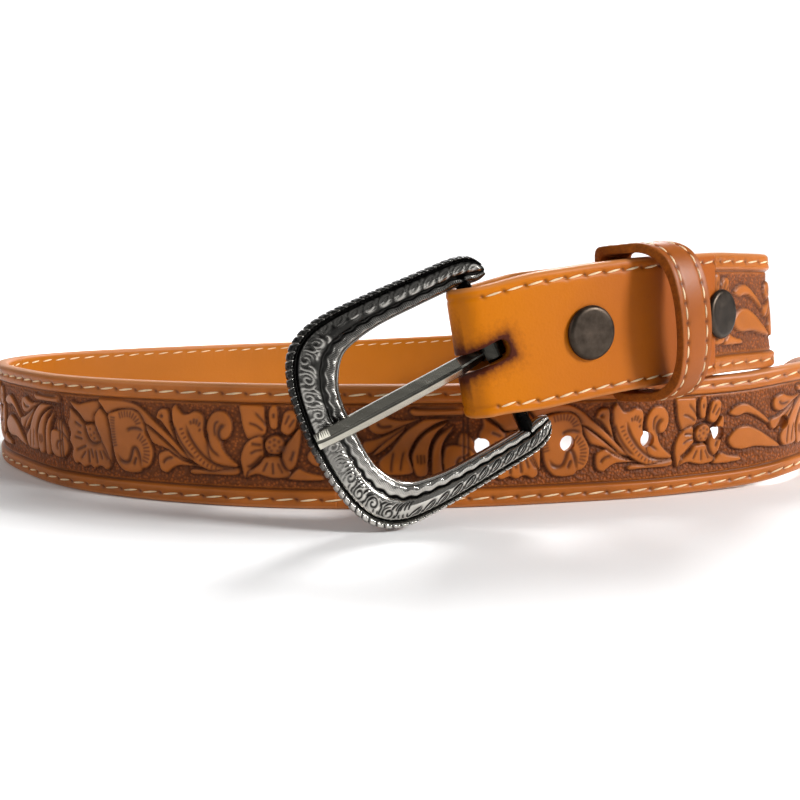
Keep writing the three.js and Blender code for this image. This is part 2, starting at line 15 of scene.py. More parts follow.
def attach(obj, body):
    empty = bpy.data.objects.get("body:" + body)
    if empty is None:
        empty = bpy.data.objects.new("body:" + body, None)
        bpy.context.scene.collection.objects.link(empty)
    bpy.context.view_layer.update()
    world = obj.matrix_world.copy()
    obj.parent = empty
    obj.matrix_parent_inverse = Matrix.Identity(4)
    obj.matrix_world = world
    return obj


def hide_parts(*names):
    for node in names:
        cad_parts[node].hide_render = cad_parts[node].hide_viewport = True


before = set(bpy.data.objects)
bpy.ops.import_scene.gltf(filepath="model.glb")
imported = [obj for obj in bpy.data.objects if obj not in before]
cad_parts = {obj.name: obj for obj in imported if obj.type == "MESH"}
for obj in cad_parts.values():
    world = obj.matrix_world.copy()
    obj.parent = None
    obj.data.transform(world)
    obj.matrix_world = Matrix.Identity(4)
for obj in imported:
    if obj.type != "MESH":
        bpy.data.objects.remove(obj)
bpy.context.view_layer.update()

bl_info = {
    "name": "Western Tooled Belt",
    "version": (1, 0, 0),
    "blender": (4, 5, 0),
    "location": "View3D > Sidebar > Belt",
    "description": "Tooled leather strap, stitches, keeper, snaps and engraved buckle of a coiled belt",
    "category": "Object",
}

MM = 0.001

# Sizes shared with the solids, in millimetres and degrees
STRAP_WIDTH = 38
STRAP_THICKNESS = 4.6
BILLET_THICKNESS = 3.4
FOLD_THICKNESS = 3.0
FLAP_END_THICKNESS = 1.8
TIP_LENGTH = 34
LOOP_WIDTH = 310
LOOP_DEPTH = 240
FOLD_AT = 5.0
WIDEN_LENGTH = 18
FRAME_LINE_BLEND = 8
FIRST_SNAP_AT = 43.7
KEEPER_AT = 61
FRAME_LINE_AT = 94
SECOND_SNAP_AT = 96.6
FLAP_END_AT = 109
LAST_HOLE_FROM_TIP = 80
HOLE_PITCH = 27.2
HOLE_COUNT = 5
HOLE_DIAMETER = 4.4
POCKET_GAP = 7.2
POCKET_LENGTH = 25
POCKET_END = 36.5
LAYER_GAP = 0.4
SKIVE_LENGTH = 14
SLOT_LENGTH = 16
BAR_FROM_FOLD = 15.5
BAR_SKEW = 15.8
BAR_TILT = 3.0
BAR_DROP = 2.7
KEEPER_WIDTH = 11
KEEPER_WALL = 2.6
KEEPER_FRONT_ROOM = 8.5
KEEPER_CLEARANCE = 0.9
KEEPER_SIDE_ROOM = 0.6
KEEPER_RACK = 10.5
KEEPER_LEAN = 5
FRONT_SQUARENESS = 2.15
BACK_SQUARENESS = 9
CAP_DIAMETER = 15.4
CAP_HEIGHT = 1.5
POST_DIAMETER = 3.6
STUD_HEIGHT = 1.3
FIT_GAP = 0.3
FRAME_REACH = 59
FRAME_HALF = 31.4
FRAME_TURN = 12.5
ARM_PAST_BAR = 2.2
FRAME_BACK = -2.0
FRAME_CROWN = 2.9
BAR_DIAMETER = 4.2
ROPE_PITCH = 2.4
PRONG_HEIGHT = 3.0
PRONG_EYE_WALL = 1.3
PRONG_REACH = 54.5

# Sizes read again from the photo when the solids were done: a little off from theirs
FOLD_WIDTH = 35.6
SLOT_PAST_BAR = 2.9
SLOT_WIDTH = 5.5
PRONG_FACE_WIDTH = 4.9

# Work on the leather that the solids leave out
STITCH_PITCH = 7.5
BILLET_STITCH_PITCH = 6.25
STITCH_INSET = 2.9
STITCH_SINK = 0.08
DENT_SIZE = 0.62
EDGE_ROUNDING = 1.4
PLAIN_BORDER_TO = 4.4
FRAME_CORNER = 5.25
GROOVE_AT = 5.85
BEAD_LINE_AT = 7.35
BEAD_PITCH = 1.15
HOLE_FLARE = 1.55

# Offset from the table of the strap's way round to the frame of the solids
ROW_SHIFT = (2.6116, -117.0414, 0.0314)

# The strap's way round, from the tip to the fold: shares of the loop's width and depth, rise of the
# lower edge as a share of the strap's width, and degrees of lean.
PATH_ROWS = [
    (0.514, 0.512, 0.05, 0), (0.519, 0.468, 0.06, 0), (0.514, 0.406, 0.07, 0),
    (0.500, 0.348, 0.08, 0), (0.478, 0.294, 0.09, 0), (0.450, 0.254, 0.09, 0),
    (0.417, 0.223, 0.075, 0), (0.382, 0.206, 0.04, 0), (0.318, 0.180, 0.01, 0),
    (0.247, 0.152, 0, 0), (0.195, 0.137, 0, 0), (0.115, 0.117, 0, 0),
    (0.039, 0.104, 0, 0), (-0.098, 0.102, 0, 0), (-0.221, 0.130, 0, 0),
    (-0.311, 0.172, 0, 0), (-0.376, 0.220, 0, 0), (-0.444, 0.299, 0, 0),
    (-0.487, 0.360, 0, 0), (-0.519, 0.428, 0, 0), (-0.535, 0.500, 0, 0),
    (-0.526, 0.580, 0, 0), (-0.497, 0.646, 0, 0), (-0.448, 0.713, 0, 0),
    (-0.365, 0.800, 0, 0), (-0.213, 0.928, 0, 0), (-0.084, 0.990, 0.015, 0),
    (0.039, 1.000, 0.058, 1), (0.145, 0.966, 0.125, 2), (0.216, 0.892, 0.24, 4),
    (0.271, 0.795, 0.39, 6), (0.319, 0.680, 0.57, 8), (0.361, 0.555, 0.76, 10),
    (0.396, 0.430, 0.92, 10), (0.414, 0.345, 1.01, 9), (0.414, 0.285, 1.05, 8),
    (0.399, 0.238, 1.055, 6), (0.361, 0.202, 1.05, 4), (0.322, 0.164, 1.04, 2),
    (0.284, 0.128, 1.015, 0), (0.235, 0.094, 0.985, 0), (0.175, 0.062, 0.925, 0),
    (0.123, 0.035, 0.86, 0), (0.068, 0.012, 0.783, 0), (0.040, 0.003, 0.738, 0),
]

# Buckle outline from the upper arm's end to the middle of the bow: outer and inner edge as shares of
# the frame's reach and half height, and share of the crown.
FRAME_ROWS = [
    (-0.076, 0.80, -0.076, 0.69, 0.72), (-0.048, 0.885, -0.036, 0.672, 0.82),
    (0.022, 0.945, 0.03, 0.69, 0.92), (0.135, 0.965, 0.135, 0.705, 1),
    (0.336, 0.985, 0.303, 0.71, 1), (0.555, 1.0, 0.487, 0.705, 1),
    (0.69, 0.998, 0.588, 0.676, 1), (0.807, 0.955, 0.664, 0.633, 1),
    (0.891, 0.855, 0.711, 0.552, 1), (0.945, 0.69, 0.75, 0.43, 1),
    (0.982, 0.424, 0.773, 0.267, 1), (1.0, 0, 0.78, 0, 1),
]

# Prong, side view: share of its reach, mm above the bar's middle, share of its width and height
PRONG_ROWS = [
    (0.02, 0.9, 0.6, 0.4), (0.10, 1.5, 0.8, 0.5), (0.20, 3.0, 1, 0.9), (0.40, 4.1, 1, 1),
    (0.66, 5.0, 1, 1), (0.82, 5.5, 0.98, 1), (0.93, 5.5, 0.94, 0.9), (1.0, 5.0, 0.86, 0.55),
]

# The tooled repeat is charted over this stretch, counted from a point 430 mm before the tip. It runs a
# little closer round the back of the loop than over its front.
CHART_ZERO_FROM_TIP = 430
CHART_START = 102.5
CHART_PITCH = 138.5
FRONT_FROM = 4
FRONT_SPLIT = 197
REAR_CLOSER = 1.047
TOOLING_CELL = 0.14
GROUND_DEPTH = 1.15

# Raised parts of the floral tooling, back to front: closed outlines in mm along and across the strap.
LEAVES = [
    ("top leaf of the turned flower", [(103.3, 11), (107.5, 10.3), (111.4, 11.2), (116.4, 11.8),
        (116.8, 9.5), (114.5, 7.2), (113.9, 4.9), (110.2, 4.3), (107.9, 6.2), (105.2, 8.5)]),
    ("petals of the turned flower", [(102.9, 8.7), (105.4, 7.2), (107.9, 5.6), (110.2, 3.8),
        (113.9, 4.1), (116.4, 2.4), (118.6, -1), (120, -5.4), (120.6, -9.2), (118.8, -10.6),
        (116.2, -9.6), (113.6, -10.6), (111.4, -9.8), (108.8, -10.7), (106.4, -9.4), (104.6, -9.9),
        (103, -7.4), (103.6, -4.6), (102, -2.4), (102.8, 0.6), (101.6, 3.4), (102.9, 6)]),
    ("hub of the turned flower", [(110.2, 3.5), (113.2, 4.1), (115.2, 2.9), (116.6, 0.4),
        (116.9, -1.2), (114.5, -2.2), (112.2, -1.6), (110.8, 0.7)]),
    ("drop petal of the turned flower", [(116.8, 9.3), (114.8, 7.2), (114.5, 4.9), (115.4, 1.8),
        (117.3, -1.3), (119, -4), (120.4, -7), (121.2, -8.2), (121.4, -4.7), (121.2, -0.9),
        (120.6, 3), (119.8, 6.8), (117.9, 9.1)]),
    ("lobe beside the turned flower", [(96.2, 4.2), (98.6, 3.6), (100.8, 0.3), (101.2, -2.8),
        (100.2, -7), (97.8, -9.2), (95.6, -8), (95.2, -3.6), (95.2, 0.6)]),
    ("base leaf", [(150.6, -8.3), (152.5, -7.8), (156, -8), (160, -7.6), (164, -7.2), (166.6, -6.9),
        (166.9, -8.4), (165, -9.3), (160, -9.4), (155, -9.4), (152, -9.5), (150.6, -9.2)]),
    ("middle stem", [(134.9, 5.2), (136.5, 4.4), (139, 2.7), (142, 0.4), (144.6, -1.7), (147, -3.5),
        (149.5, -5.4), (152, -6.2), (149, -6.0), (145.5, -3.9), (142.2, -2.0), (139.5, -1.1),
        (137.6, -0.5), (136.4, 1.2), (135.4, 3.4)]),
    ("lobed leaf", [(139.5, -4), (140.7, -3), (143, -2.5), (145.3, -4), (149.5, -5.9), (154.5, -7),
        (151, -7), (147.2, -7), (144.9, -7.8), (143, -9.2), (142.2, -9.7), (140.3, -9),
        (139.5, -7)]),
    ("curled leaf", [(140, 9.9), (141.5, 10.7), (143.4, 10.5), (144, 9.1), (144, 6.8), (144.7, 4.1),
        (145.7, 1), (147.2, -1.7), (146.1, -0.5), (144.5, 1.8), (142.6, 4.5), (140.7, 6.8),
        (139.2, 7.6), (139.5, 8.7)]),
    ("long stem", [(116.6, 12.4), (120, 12.6), (125, 12.6), (129, 12.3), (132, 11.5), (135, 9.7),
        (138, 7.1), (141, 4.6), (144, 1.9), (147, -1.0), (149, -2.9), (151.5, -5.2), (148, -4.2),
        (145, -1.6), (142, 0.9), (139, 3.2), (136.5, 4.9), (134.8, 5.6), (134, 7.2), (132.6, 9.0),
        (130.5, 9.9), (127, 9.9), (123, 9.2), (120.3, 7.7), (118.5, 9.3)]),
    ("scroll", [(120.4, 7.5), (123, 8.8), (127, 9.7), (130.3, 9.8), (132.6, 8.8), (134, 7),
        (134.8, 5), (135.2, 2.5), (136.5, 0.3), (137.4, -2), (137.4, -4.6), (136.6, -7),
        (135, -8.6), (133.4, -9), (132.4, -10.2), (129, -10.6), (126, -10.2), (124.2, -8.8),
        (122.8, -6.6), (122, -3.5), (121.5, 0), (121, 4)]),
    ("horned leaf", [(146.4, 12.2), (147.2, 11), (148.8, 9.3), (150.7, 9.5), (152.6, 10.3),
        (154.5, 10), (155.6, 8.7), (155.8, 6.4), (155.5, 4.1), (156.5, 1), (158, -1.3),
        (160.8, -3.7), (164, -5.8), (166.2, -6.7), (162, -7.4), (157.2, -8), (153.4, -6.6),
        (150.7, -4.7), (148.4, -2), (146.5, 0.7), (145.5, 4.1), (144.9, 7.6), (144.9, 10.7)]),
    ("tall curled leaf", [(156.8, 2), (156.5, 5.5), (157.1, 7.8), (158.6, 9.8), (160.8, 10.7),
        (163, 10.2), (164.5, 8.4), (165, 6.2), (164.6, 3.9), (163.2, 2), (161.3, 1.3),
        (161.5, -0.5), (162.8, -2.6), (164.6, -4.3), (166.4, -5.7), (166.2, -6.6), (163, -6.5),
        (160, -6.0), (158, -5.2), (157, -2)]),
    ("bell petal", [(175.2, -3.2), (179.8, -3.1), (181, -5.9), (182.7, -7.4), (183.1, -8.2),
        (182.3, -9.3), (180, -9.7), (177.3, -9.7), (175, -9.2), (172.7, -8.6), (170.4, -9.2),
        (169, -9.9), (169.6, -7.8), (171.5, -6.7), (173.5, -5.1)]),
    ("top left petal", [(167.5, 12.6), (171.2, 12.7), (175, 12.4), (175.4, 10.7), (175.4, 8.7),
        (175.8, 6.1), (175.4, 4.1), (174.2, 3.2), (172.3, 3), (170, 2.2), (169, 3.7),
        (168.1, 6.4), (167.7, 9.5)]),
    ("left petal", [(174.2, 3), (171.5, 2.6), (169.2, 1), (167.9, -1.3), (167.3, -4), (167.7, -7),
        (168.6, -10.1), (169.6, -7.8), (171.5, -6), (174.6, -2.8), (174.6, 0)]),
    ("finger petal", [(176.5, 8.7), (176.7, 11.4), (178.1, 13), (179.4, 11.8), (179.4, 8.7),
        (179, 5.7), (177.1, 5.7)]),
    ("right upper petal", [(180.2, 4.9), (180.6, 8), (181.5, 10.7), (183.8, 11.4), (185.2, 10.3),
        (185.2, 8), (184.5, 5.5), (182.4, 3.6)]),
    ("drop petal", [(186.5, 4.9), (186.2, 1), (185.6, -2), (184.6, -5.5), (182.7, -7.2),
        (181, -5.9), (180.2, -2.8), (181, -0.1), (183.5, 3), (185.6, 5.7)]),
    ("small leaf", [(183, -8.6), (185.4, -6.5), (187.7, -7.4), (190.8, -8.2), (192.7, -8.6),
        (192.7, -10.1), (183, -10.1)]),
    ("flower hub", [(178.2, 3.7), (180.4, 2.8), (181.3, 0.6), (180.4, -1.6), (178.2, -2.5),
        (176, -1.6), (175.1, 0.6), (176, 2.8)]),
    ("stem behind the bow", [(188.4, 6.4), (191.6, 8.6), (195.6, 8.8), (199.6, 6.6), (203.6, 3.2),
        (207.4, -0.8), (203.6, 1.2), (199.2, 4.2), (195.4, 5.6), (191.8, 5)]),
    ("leaf behind the bow", [(188.2, -2.2), (191.4, 0.8), (195.6, 1.4), (200.2, -0.6),
        (205.4, -4.4), (209.8, -8), (204.4, -7.4), (198.8, -6.2), (193.4, -6.4), (189.4, -5)]),
    ("top tongue", [(219, 11), (220.6, 12.1), (225, 12.4), (231, 12.3), (235.6, 12.2), (235.8, 9.9),
        (231, 9.7), (225, 9.6), (220.6, 9.6)]),
    ("upper leaf", [(206.7, 7.2), (207.6, 9.1), (211, 9.9), (213.4, 8.9), (217.2, 8.3),
        (222.6, 8.7), (219.5, 7.6), (215.3, 5.8), (211.8, 4.3), (209.2, 4.1), (207.2, 5.3)]),
    ("second leaf", [(205.3, 1.8), (208.8, 2.6), (213.4, 4.5), (218, 6.8), (215.7, 4.1), (210.7, 1),
        (207.2, -1.7), (205.2, -0.6)]),
    ("narrow leaf", [(208, -2.4), (210.2, -1.4), (212.6, 0.4), (215, 2.6), (217.6, 5.7),
        (212.6, 2.4), (209.6, -0.2)]),
    ("fourth leaf", [(209.9, -4), (213.4, -0.9), (215, 1.4), (218, 4.9), (221.8, 7.6), (225, 8.7),
        (235, 8.5), (230.7, 8.3), (227.2, 7.2), (223.4, 4.5), (221, 2.2), (219.5, -0.9),
        (219, -3.2), (220, -7.8), (213, -8.5), (210.4, -7)]),
    ("fan leaf", [(219.8, -3.6), (220.3, -0.9), (222.4, 2.6), (225.4, 5.2), (230.7, 7.6),
        (227.6, 4.8), (225.8, 2), (224.9, -1), (224.7, -4.6), (224.4, -8.4), (221, -8.6)]),
    ("third fan leaf", [(225.8, -4.3), (226, -1), (227, 1.8), (229, 4.2), (232.6, 6.6),
        (230.2, 3), (228.9, 0), (228.8, -3), (229, -8.2), (226, -8.6)]),
    ("round lobe", [(229.5, -2), (230.2, 0), (232, 0.6), (234.6, 0.3), (237.6, -0.8),
        (239.5, -3), (239.5, -6), (237, -8.4), (233, -8.9), (230, -7.6), (229.3, -4.6)]),
]

# Cuts of the swivel knife: width in mm, then the line.
CUTS = [
    (0.9, [(128, 2.9), (129, 3.5), (130.3, 3.9), (132.2, 3.9), (134.4, 3.2)]),
    (1.1, [(124.2, -5.2), (125.2, -6.7), (126.8, -7.3), (128.4, -6.8), (129.3, -5), (129.9, -3),
        (130.9, -2.3), (131.8, -3.1), (132.6, -5.5), (133, -8.4)]),
    (0.9, [(131.3, -5.2), (130.7, -6.6), (130.2, -8.0)]),
    (0.8, [(144.9, -4.6), (143, -4.9), (141.6, -5.9), (141.4, -6.8)]),
    (1.1, [(140.6, 8.2), (141.8, 8.4)]),
    (1.0, [(149.7, 5.8), (150.7, 2.6), (152.6, -0.5), (154.9, -3.2), (158, -5.5), (161.5, -6.7),
        (166, -6.8)]),
    (0.7, [(145.6, 5.5), (146.2, 3.4), (148, 0), (150.3, -2.9), (152.6, -4.9)]),
    (0.45, [(151.5, 6), (151.3, 7.4)]),
    (0.45, [(152.3, 6.2), (152.6, 8.1)]),
    (0.45, [(153.1, 6), (153.6, 7.9)]),
    (0.45, [(153.8, 5.5), (154.6, 7.0)]),
    (0.45, [(154, 4), (154.6, 5)]),
    (0.7, [(156.8, 4), (156.8, 2), (158, -1.3), (160.8, -3.7)]),
    (0.5, [(160.7, 7.6), (159.5, 6.6), (159.2, 4.5), (159.5, 2.6)]),
    (1.2, [(162.6, 6.3), (161.3, 5.7), (160.5, 4.2), (160.6, 2.5), (161.5, 1.4), (163.6, 0.8)]),
    (0.9, [(174.8, 1.2), (175.8, 2.6), (177.3, 3.5), (179.2, 4.1), (181.2, 3.5), (182.3, 2.8)]),
    (1.1, [(185.4, 5.7), (182.3, 2.3), (181.5, 1), (180.4, -0.9), (180, -2.8), (181, -5.9),
        (182.7, -7.4)]),
    (0.9, [(174.8, -0.9), (175.8, -2.8), (177.7, -2.4), (179.6, -2.8)]),
    (0.6, [(172.2, 10.6), (175, 7.6), (175.8, 6.2)]),
    (0.6, [(170.2, 7.2), (172.7, 6.4), (175, 4.7)]),
    (1.0, [(169.4, -6.7), (171.5, -5.5), (174.6, -2.4)]),
    (0.8, [(170.8, 0.8), (174.2, 0.5)]),
    (0.55, [(170.4, -2.4), (172.3, -1.3), (174.8, -0.9)]),
    (0.6, [(178.1, 10.3), (178.1, 8.7)]),
    (0.5, [(181.5, 6.8), (183, 9.9)]),
    (0.5, [(182.7, 6), (184.6, 8.7)]),
    (0.7, [(184.2, -1), (183, -4.4)]),
    (0.5, [(174.4, -7.8), (176, -4.6)]),
    (0.5, [(177.6, -8.6), (177.5, -4.6)]),
    (0.5, [(180.6, -8.2), (179, -4.8)]),
    (1.0, [(219.6, 12), (223, 11.8), (228, 11.7), (235, 11.7)]),
    (0.8, [(209.2, 7.6), (210.7, 6.4), (214.2, 6.6)]),
    (0.6, [(213.4, -7.8), (213.6, -4.7), (214.3, -1)]),
    (0.5, [(216.2, -7.4), (216.6, -4.2), (217.4, -0.8)]),
    (1.1, [(219, -3.6), (219.5, -0.9), (221.8, 3), (225, 5.7), (230.7, 8.2)]),
    (0.5, [(221.3, -2), (221.6, -5)]),
    (0.5, [(222.4, -2), (222.6, -5.4)]),
    (0.5, [(223.4, -2), (223.6, -5)]),
    (1.1, [(225.3, -4.3), (225.5, -0.9), (226.5, 2.2), (228.4, 4.5), (230.7, 5.3)]),
    (0.9, [(229.3, -2), (229.3, 0.3), (230.7, 2.6), (233.8, 6)]),
    (0.9, [(235.7, -3.2), (234.2, -3.4), (233.4, -4.8), (234.2, -6.2)]),
    (0.6, [(235.5, 12.4), (235.5, 4), (235.5, -4), (235.5, -12.4)]),
    (0.6, [(236.9, 12.4), (236.9, 4), (236.9, -4), (236.9, -12.4)]),
    (0.9, [(105, 8.5), (107.5, 6.8), (110, 4.3), (113.3, 4.4)]),
    (0.8, [(116.8, 11.2), (118.4, 9.4), (120, 7.4)]),
    (1.0, [(110.2, 3.3), (110.8, 0.7), (112.2, -1.5), (114.5, -2.2), (116.8, -1.3)]),
    (0.7, [(114.5, 4.1), (116, 1), (117, -0.9)]),
    (0.7, [(105.4, 4.3), (108.7, 2.8)]),
    (0.6, [(106.4, 1), (108.5, 0.7)]),
    (0.6, [(105, -0.7), (109, -1.2)]),
    (0.7, [(105.6, -5.3), (110.6, -3.2)]),
    (0.6, [(107.5, -8), (110.2, -5.1)]),
    (0.7, [(111.6, -9.3), (111.4, -4.3)]),
    (0.6, [(113.5, -7.4), (112.6, -4)]),
    (0.7, [(115.2, -9), (114.5, -4.3)]),
    (0.6, [(117.5, -7.4), (116.4, -4.3)]),
    (0.6, [(119.8, -7.4), (117.6, -4)]),
    (0.7, [(98.6, -2.2), (97.2, -3.2), (97.4, -4.6)]),
]

# Ladders of short strokes: the line they stand on, the number of strokes and their length in mm.
LADDERS = [
    ([(147.8, 5.2), (148.8, 2.6), (150.6, 0), (152.6, -2.6), (154.6, -5), (157, -6.6), (160, -7.2)],
        13, 1.5),
    ([(122.6, 7.3), (122.4, 5), (122.4, 2.4), (122.7, -0.6), (123.2, -2.6)], 11, 2.2),
    ([(125, 7.6), (127.4, 8.2), (130, 8.1), (132, 6.6), (132.7, 5)], 9, 2.4),
    ([(132.2, 1.8), (134.2, 0.2), (135.2, -2), (135.2, -4.6), (134.4, -7)], 9, 2.6),
]

# Seeds pressed into the flower's hub: along and across in mm.
SEEDS = [(178.2, 0.6), (176.8, 1.6), (179.6, 1.7), (176.5, -0.2), (179.9, 0), (178.2, 2.3),
    (177.2, -1.2), (179.2, -1.2), (112.6, 2.4), (114.2, 1.2), (112.8, 0.4), (114.4, -0.6)]

# Height across the proud border: distance in from the strap's edge, height over the face.
BORDER_ROWS = [
    (0, -1.5), (0.12, -0.9), (0.4, -0.42), (0.8, -0.14), (1.3, 0), (1.9, 0.06), (2.3, 0),
    (2.6, -0.12), (2.9, -0.2), (3.2, -0.12), (3.5, 0), (3.9, 0.1), (4.5, 0.15), (5.0, 0.08),
    (5.25, -0.12), (5.5, -0.6), (5.8, -1.25), (6.0, -1.3), (6.25, -1.0), (6.5, -0.85),
]
GROOVE_END = 6.5
BORDER_TABLE = np.array(BORDER_ROWS)
EDGE_TABLE = BORDER_TABLE[:5]

# Face of the buckle frame: share across from the outer to the inner edge, share of the crown, and how
# far the recess is blackened.
FACE_ROWS = [
    (0, 0.10, 0.5), (0.02, 0.42, 0.2), (0.05, 0.68, 0), (0.085, 0.80, 0), (0.12, 0.76, 0),
    (0.15, 0.56, 0.5), (0.17, 0.38, 1), (0.19, 0.40, 1), (0.21, 0.62, 0.4), (0.24, 0.76, 0),
    (0.32, 0.92, 0), (0.42, 1.0, 0), (0.52, 0.98, 0), (0.595, 0.88, 0), (0.62, 0.80, 0.2),
    (0.64, 0.60, 1), (0.69, 0.58, 1), (0.715, 0.70, 0.3), (0.78, 0.78, 0), (0.84, 0.78, 0),
    (0.90, 0.70, 0), (0.925, 0.54, 0.7), (0.945, 0.50, 0.8), (0.96, 0.56, 0), (0.985, 0.40, 0),
    (1, 0.02, 0.2),
]


def linear(red, green, blue):
    """A colour given in 0-255 as seen, turned into the linear values that a shader takes."""
    return tuple(
        c / 12.92 if c <= 0.04045 else ((c + 0.055) / 1.055) ** 2.4
        for c in (red / 255, green / 255, blue / 255))


def mix(a, b, t):
    return a + (b - a) * t


def smooth(t):
    t = np.clip(t, 0, 1)
    return t * t * (3 - 2 * t)


def spline_through(rows, measured):
    """Natural cubic spline through rows, on the summed distance of its first columns."""
    rows = np.array(rows, float)
    last = len(rows) - 1
    steps = np.sqrt((np.diff(rows[:, :measured], axis=0) ** 2).sum(axis=1))
    knots = np.concatenate([[0], np.cumsum(steps)])
    bend = np.zeros_like(rows)
    ratio = np.zeros(last + 1)
    carry = np.zeros_like(rows)
    for i in range(1, last):
        before, after = steps[i - 1], steps[i]
        turn = 6 * ((rows[i + 1] - rows[i]) / after - (rows[i] - rows[i - 1]) / before)
        pivot = 2 * (before + after) - before * ratio[i - 1]
        ratio[i] = after / pivot
        carry[i] = (turn - before * carry[i - 1]) / pivot
    for i in range(last - 1, 0, -1):
        bend[i] = carry[i] - ratio[i] * bend[i + 1]

    def value_at(t):
        t = np.atleast_1d(np.asarray(t, float))
        i = np.clip(np.searchsorted(knots, t), 1, last)
        span = knots[i] - knots[i - 1]
        a = ((knots[i] - t) / span)[:, None]
        b = ((t - knots[i - 1]) / span)[:, None]
        return (a * rows[i - 1] + b * rows[i]
                + ((a ** 3 - a) * bend[i - 1] + (b ** 3 - b) * bend[i]) * span[:, None] ** 2 / 6)

    return knots[last], value_at


def softened(points, closed, per_span=6):
    """Points of a smooth line through the given ones."""
    points = np.array(points, float)
    if len(points) < 3:
        return points
    if closed:
        padded = np.concatenate([points[-1:], points, points[:2]])
    else:
        padded = np.concatenate([2 * points[:1] - points[1:2], points, 2 * points[-1:] - points[-2:-1]])
    t = (np.arange(per_span) / per_span)[:, None]
    parts = []
    for k in range(len(padded) - 3):
        a, b, c, d = padded[k:k + 4]
        parts.append(0.5 * (2 * b + (c - a) * t + (2 * a - 5 * b + 4 * c - d) * t ** 2
                            + (3 * b - a - 3 * c + d) * t ** 3))
    line = np.concatenate(parts)
    return line if closed else np.concatenate([line, points[-1:]])


class StrapWay:
    """The strap's outer face at mid width, counted by true length from the fold."""

    FINE = 1600
    STEP = 1.5

    def __init__(self):
        rows = [(x * LOOP_WIDTH, y * LOOP_DEPTH, (z + 0.5) * STRAP_WIDTH, lean)
                for x, y, z, lean in PATH_ROWS]
        length, value_at = spline_through(rows, 3)
        self.fine = value_at(length * (1 - np.arange(self.FINE + 1) / self.FINE))
        steps = np.sqrt((np.diff(self.fine[:, :3], axis=0) ** 2).sum(axis=1))
        self.run = np.concatenate([[0], np.cumsum(steps)])
        self.total = self.run[-1]

    def point_at(self, s):
        s = np.clip(s, 0, self.total)
        return np.stack([np.interp(s, self.run, self.fine[:, k]) for k in range(4)], axis=-1)

    def stations(self, s):
        """Place, direction along, direction out and direction up at each distance."""
        s = np.atleast_1d(np.asarray(s, float))
        here = self.point_at(s)
        along = (self.point_at(s + self.STEP) - self.point_at(s - self.STEP))[:, :3]
        along /= np.linalg.norm(along, axis=1, keepdims=True)
        flat = np.stack([along[:, 1], -along[:, 0], 0 * s], axis=1)
        flat /= np.linalg.norm(flat, axis=1, keepdims=True)
        lean = np.radians(-here[:, 3])[:, None]
        out = flat * np.cos(lean) + np.cross(along, flat) * np.sin(lean)
        up = np.cross(out, along)
        return here[:, :3] + np.array(ROW_SHIFT), along, out, up

    def station(self, s):
        return tuple(v[0] for v in self.stations(s))

    def laid(self, s, w, n):
        """Points of the strap's own space, in millimetres of the solids' frame."""
        marks, where = np.unique(s, return_inverse=True)
        at, _, out, up = self.stations(marks)
        return at[where] + up[where] * w[:, None] + out[where] * n[:, None]


WAY = StrapWay()
FOLD_CENTRE_AT = FOLD_AT + POCKET_GAP / 2 + FOLD_THICKNESS
HOLE_MARKS = [WAY.total - LAST_HOLE_FROM_TIP - i * HOLE_PITCH for i in range(HOLE_COUNT)]


def half_width(s):
    share = np.clip(1 - (WAY.total - s) / TIP_LENGTH, 0, 1)
    tip = (STRAP_WIDTH / 2) * np.sqrt(np.maximum(0.02, 1 - share ** 2.2))
    body = mix(FOLD_WIDTH, STRAP_WIDTH, smooth((s - FOLD_CENTRE_AT) / WIDEN_LENGTH)) / 2
    return np.where(share > 0, tip, body)


def thickness(s):
    billet = mix(FOLD_THICKNESS, BILLET_THICKNESS, smooth(s / POCKET_END))
    return mix(billet, STRAP_THICKNESS, smooth((s - FRAME_LINE_AT) / FRAME_LINE_BLEND + 1))


def layer_gap(s):
    return mix(POCKET_GAP, LAYER_GAP, smooth((s - POCKET_LENGTH) / (POCKET_END - POCKET_LENGTH)))


def buckle_axes():
    """Middle of the bar, and the directions along the frame's reach, its bar and its face."""
    at, along, out, up = WAY.station(BAR_FROM_FOLD)
    skew, tilt, turn = (math.radians(v) for v in (BAR_SKEW, BAR_TILT, FRAME_TURN))
    bar = up * math.cos(skew) - along * math.sin(skew) - out * math.sin(tilt)
    bar /= np.linalg.norm(bar)
    reach = np.array([-bar[2], 0, bar[0]])
    reach /= np.linalg.norm(reach)
    reach = reach * math.cos(turn) + np.cross(bar, reach) * math.sin(turn)
    face = np.cross(bar, reach)
    deep = thickness(BAR_FROM_FOLD) + POCKET_GAP / 2
    return at - out * deep - bar * BAR_DROP, reach, bar, face, out


BAR_MIDDLE, REACH, BAR, FACE, BILLET_OUT = buckle_axes()


def from_buckle(x, y, z):
    return (BAR_MIDDLE + np.multiply.outer(x, REACH) + np.multiply.outer(y, BAR)
            + np.multiply.outer(z, FACE))


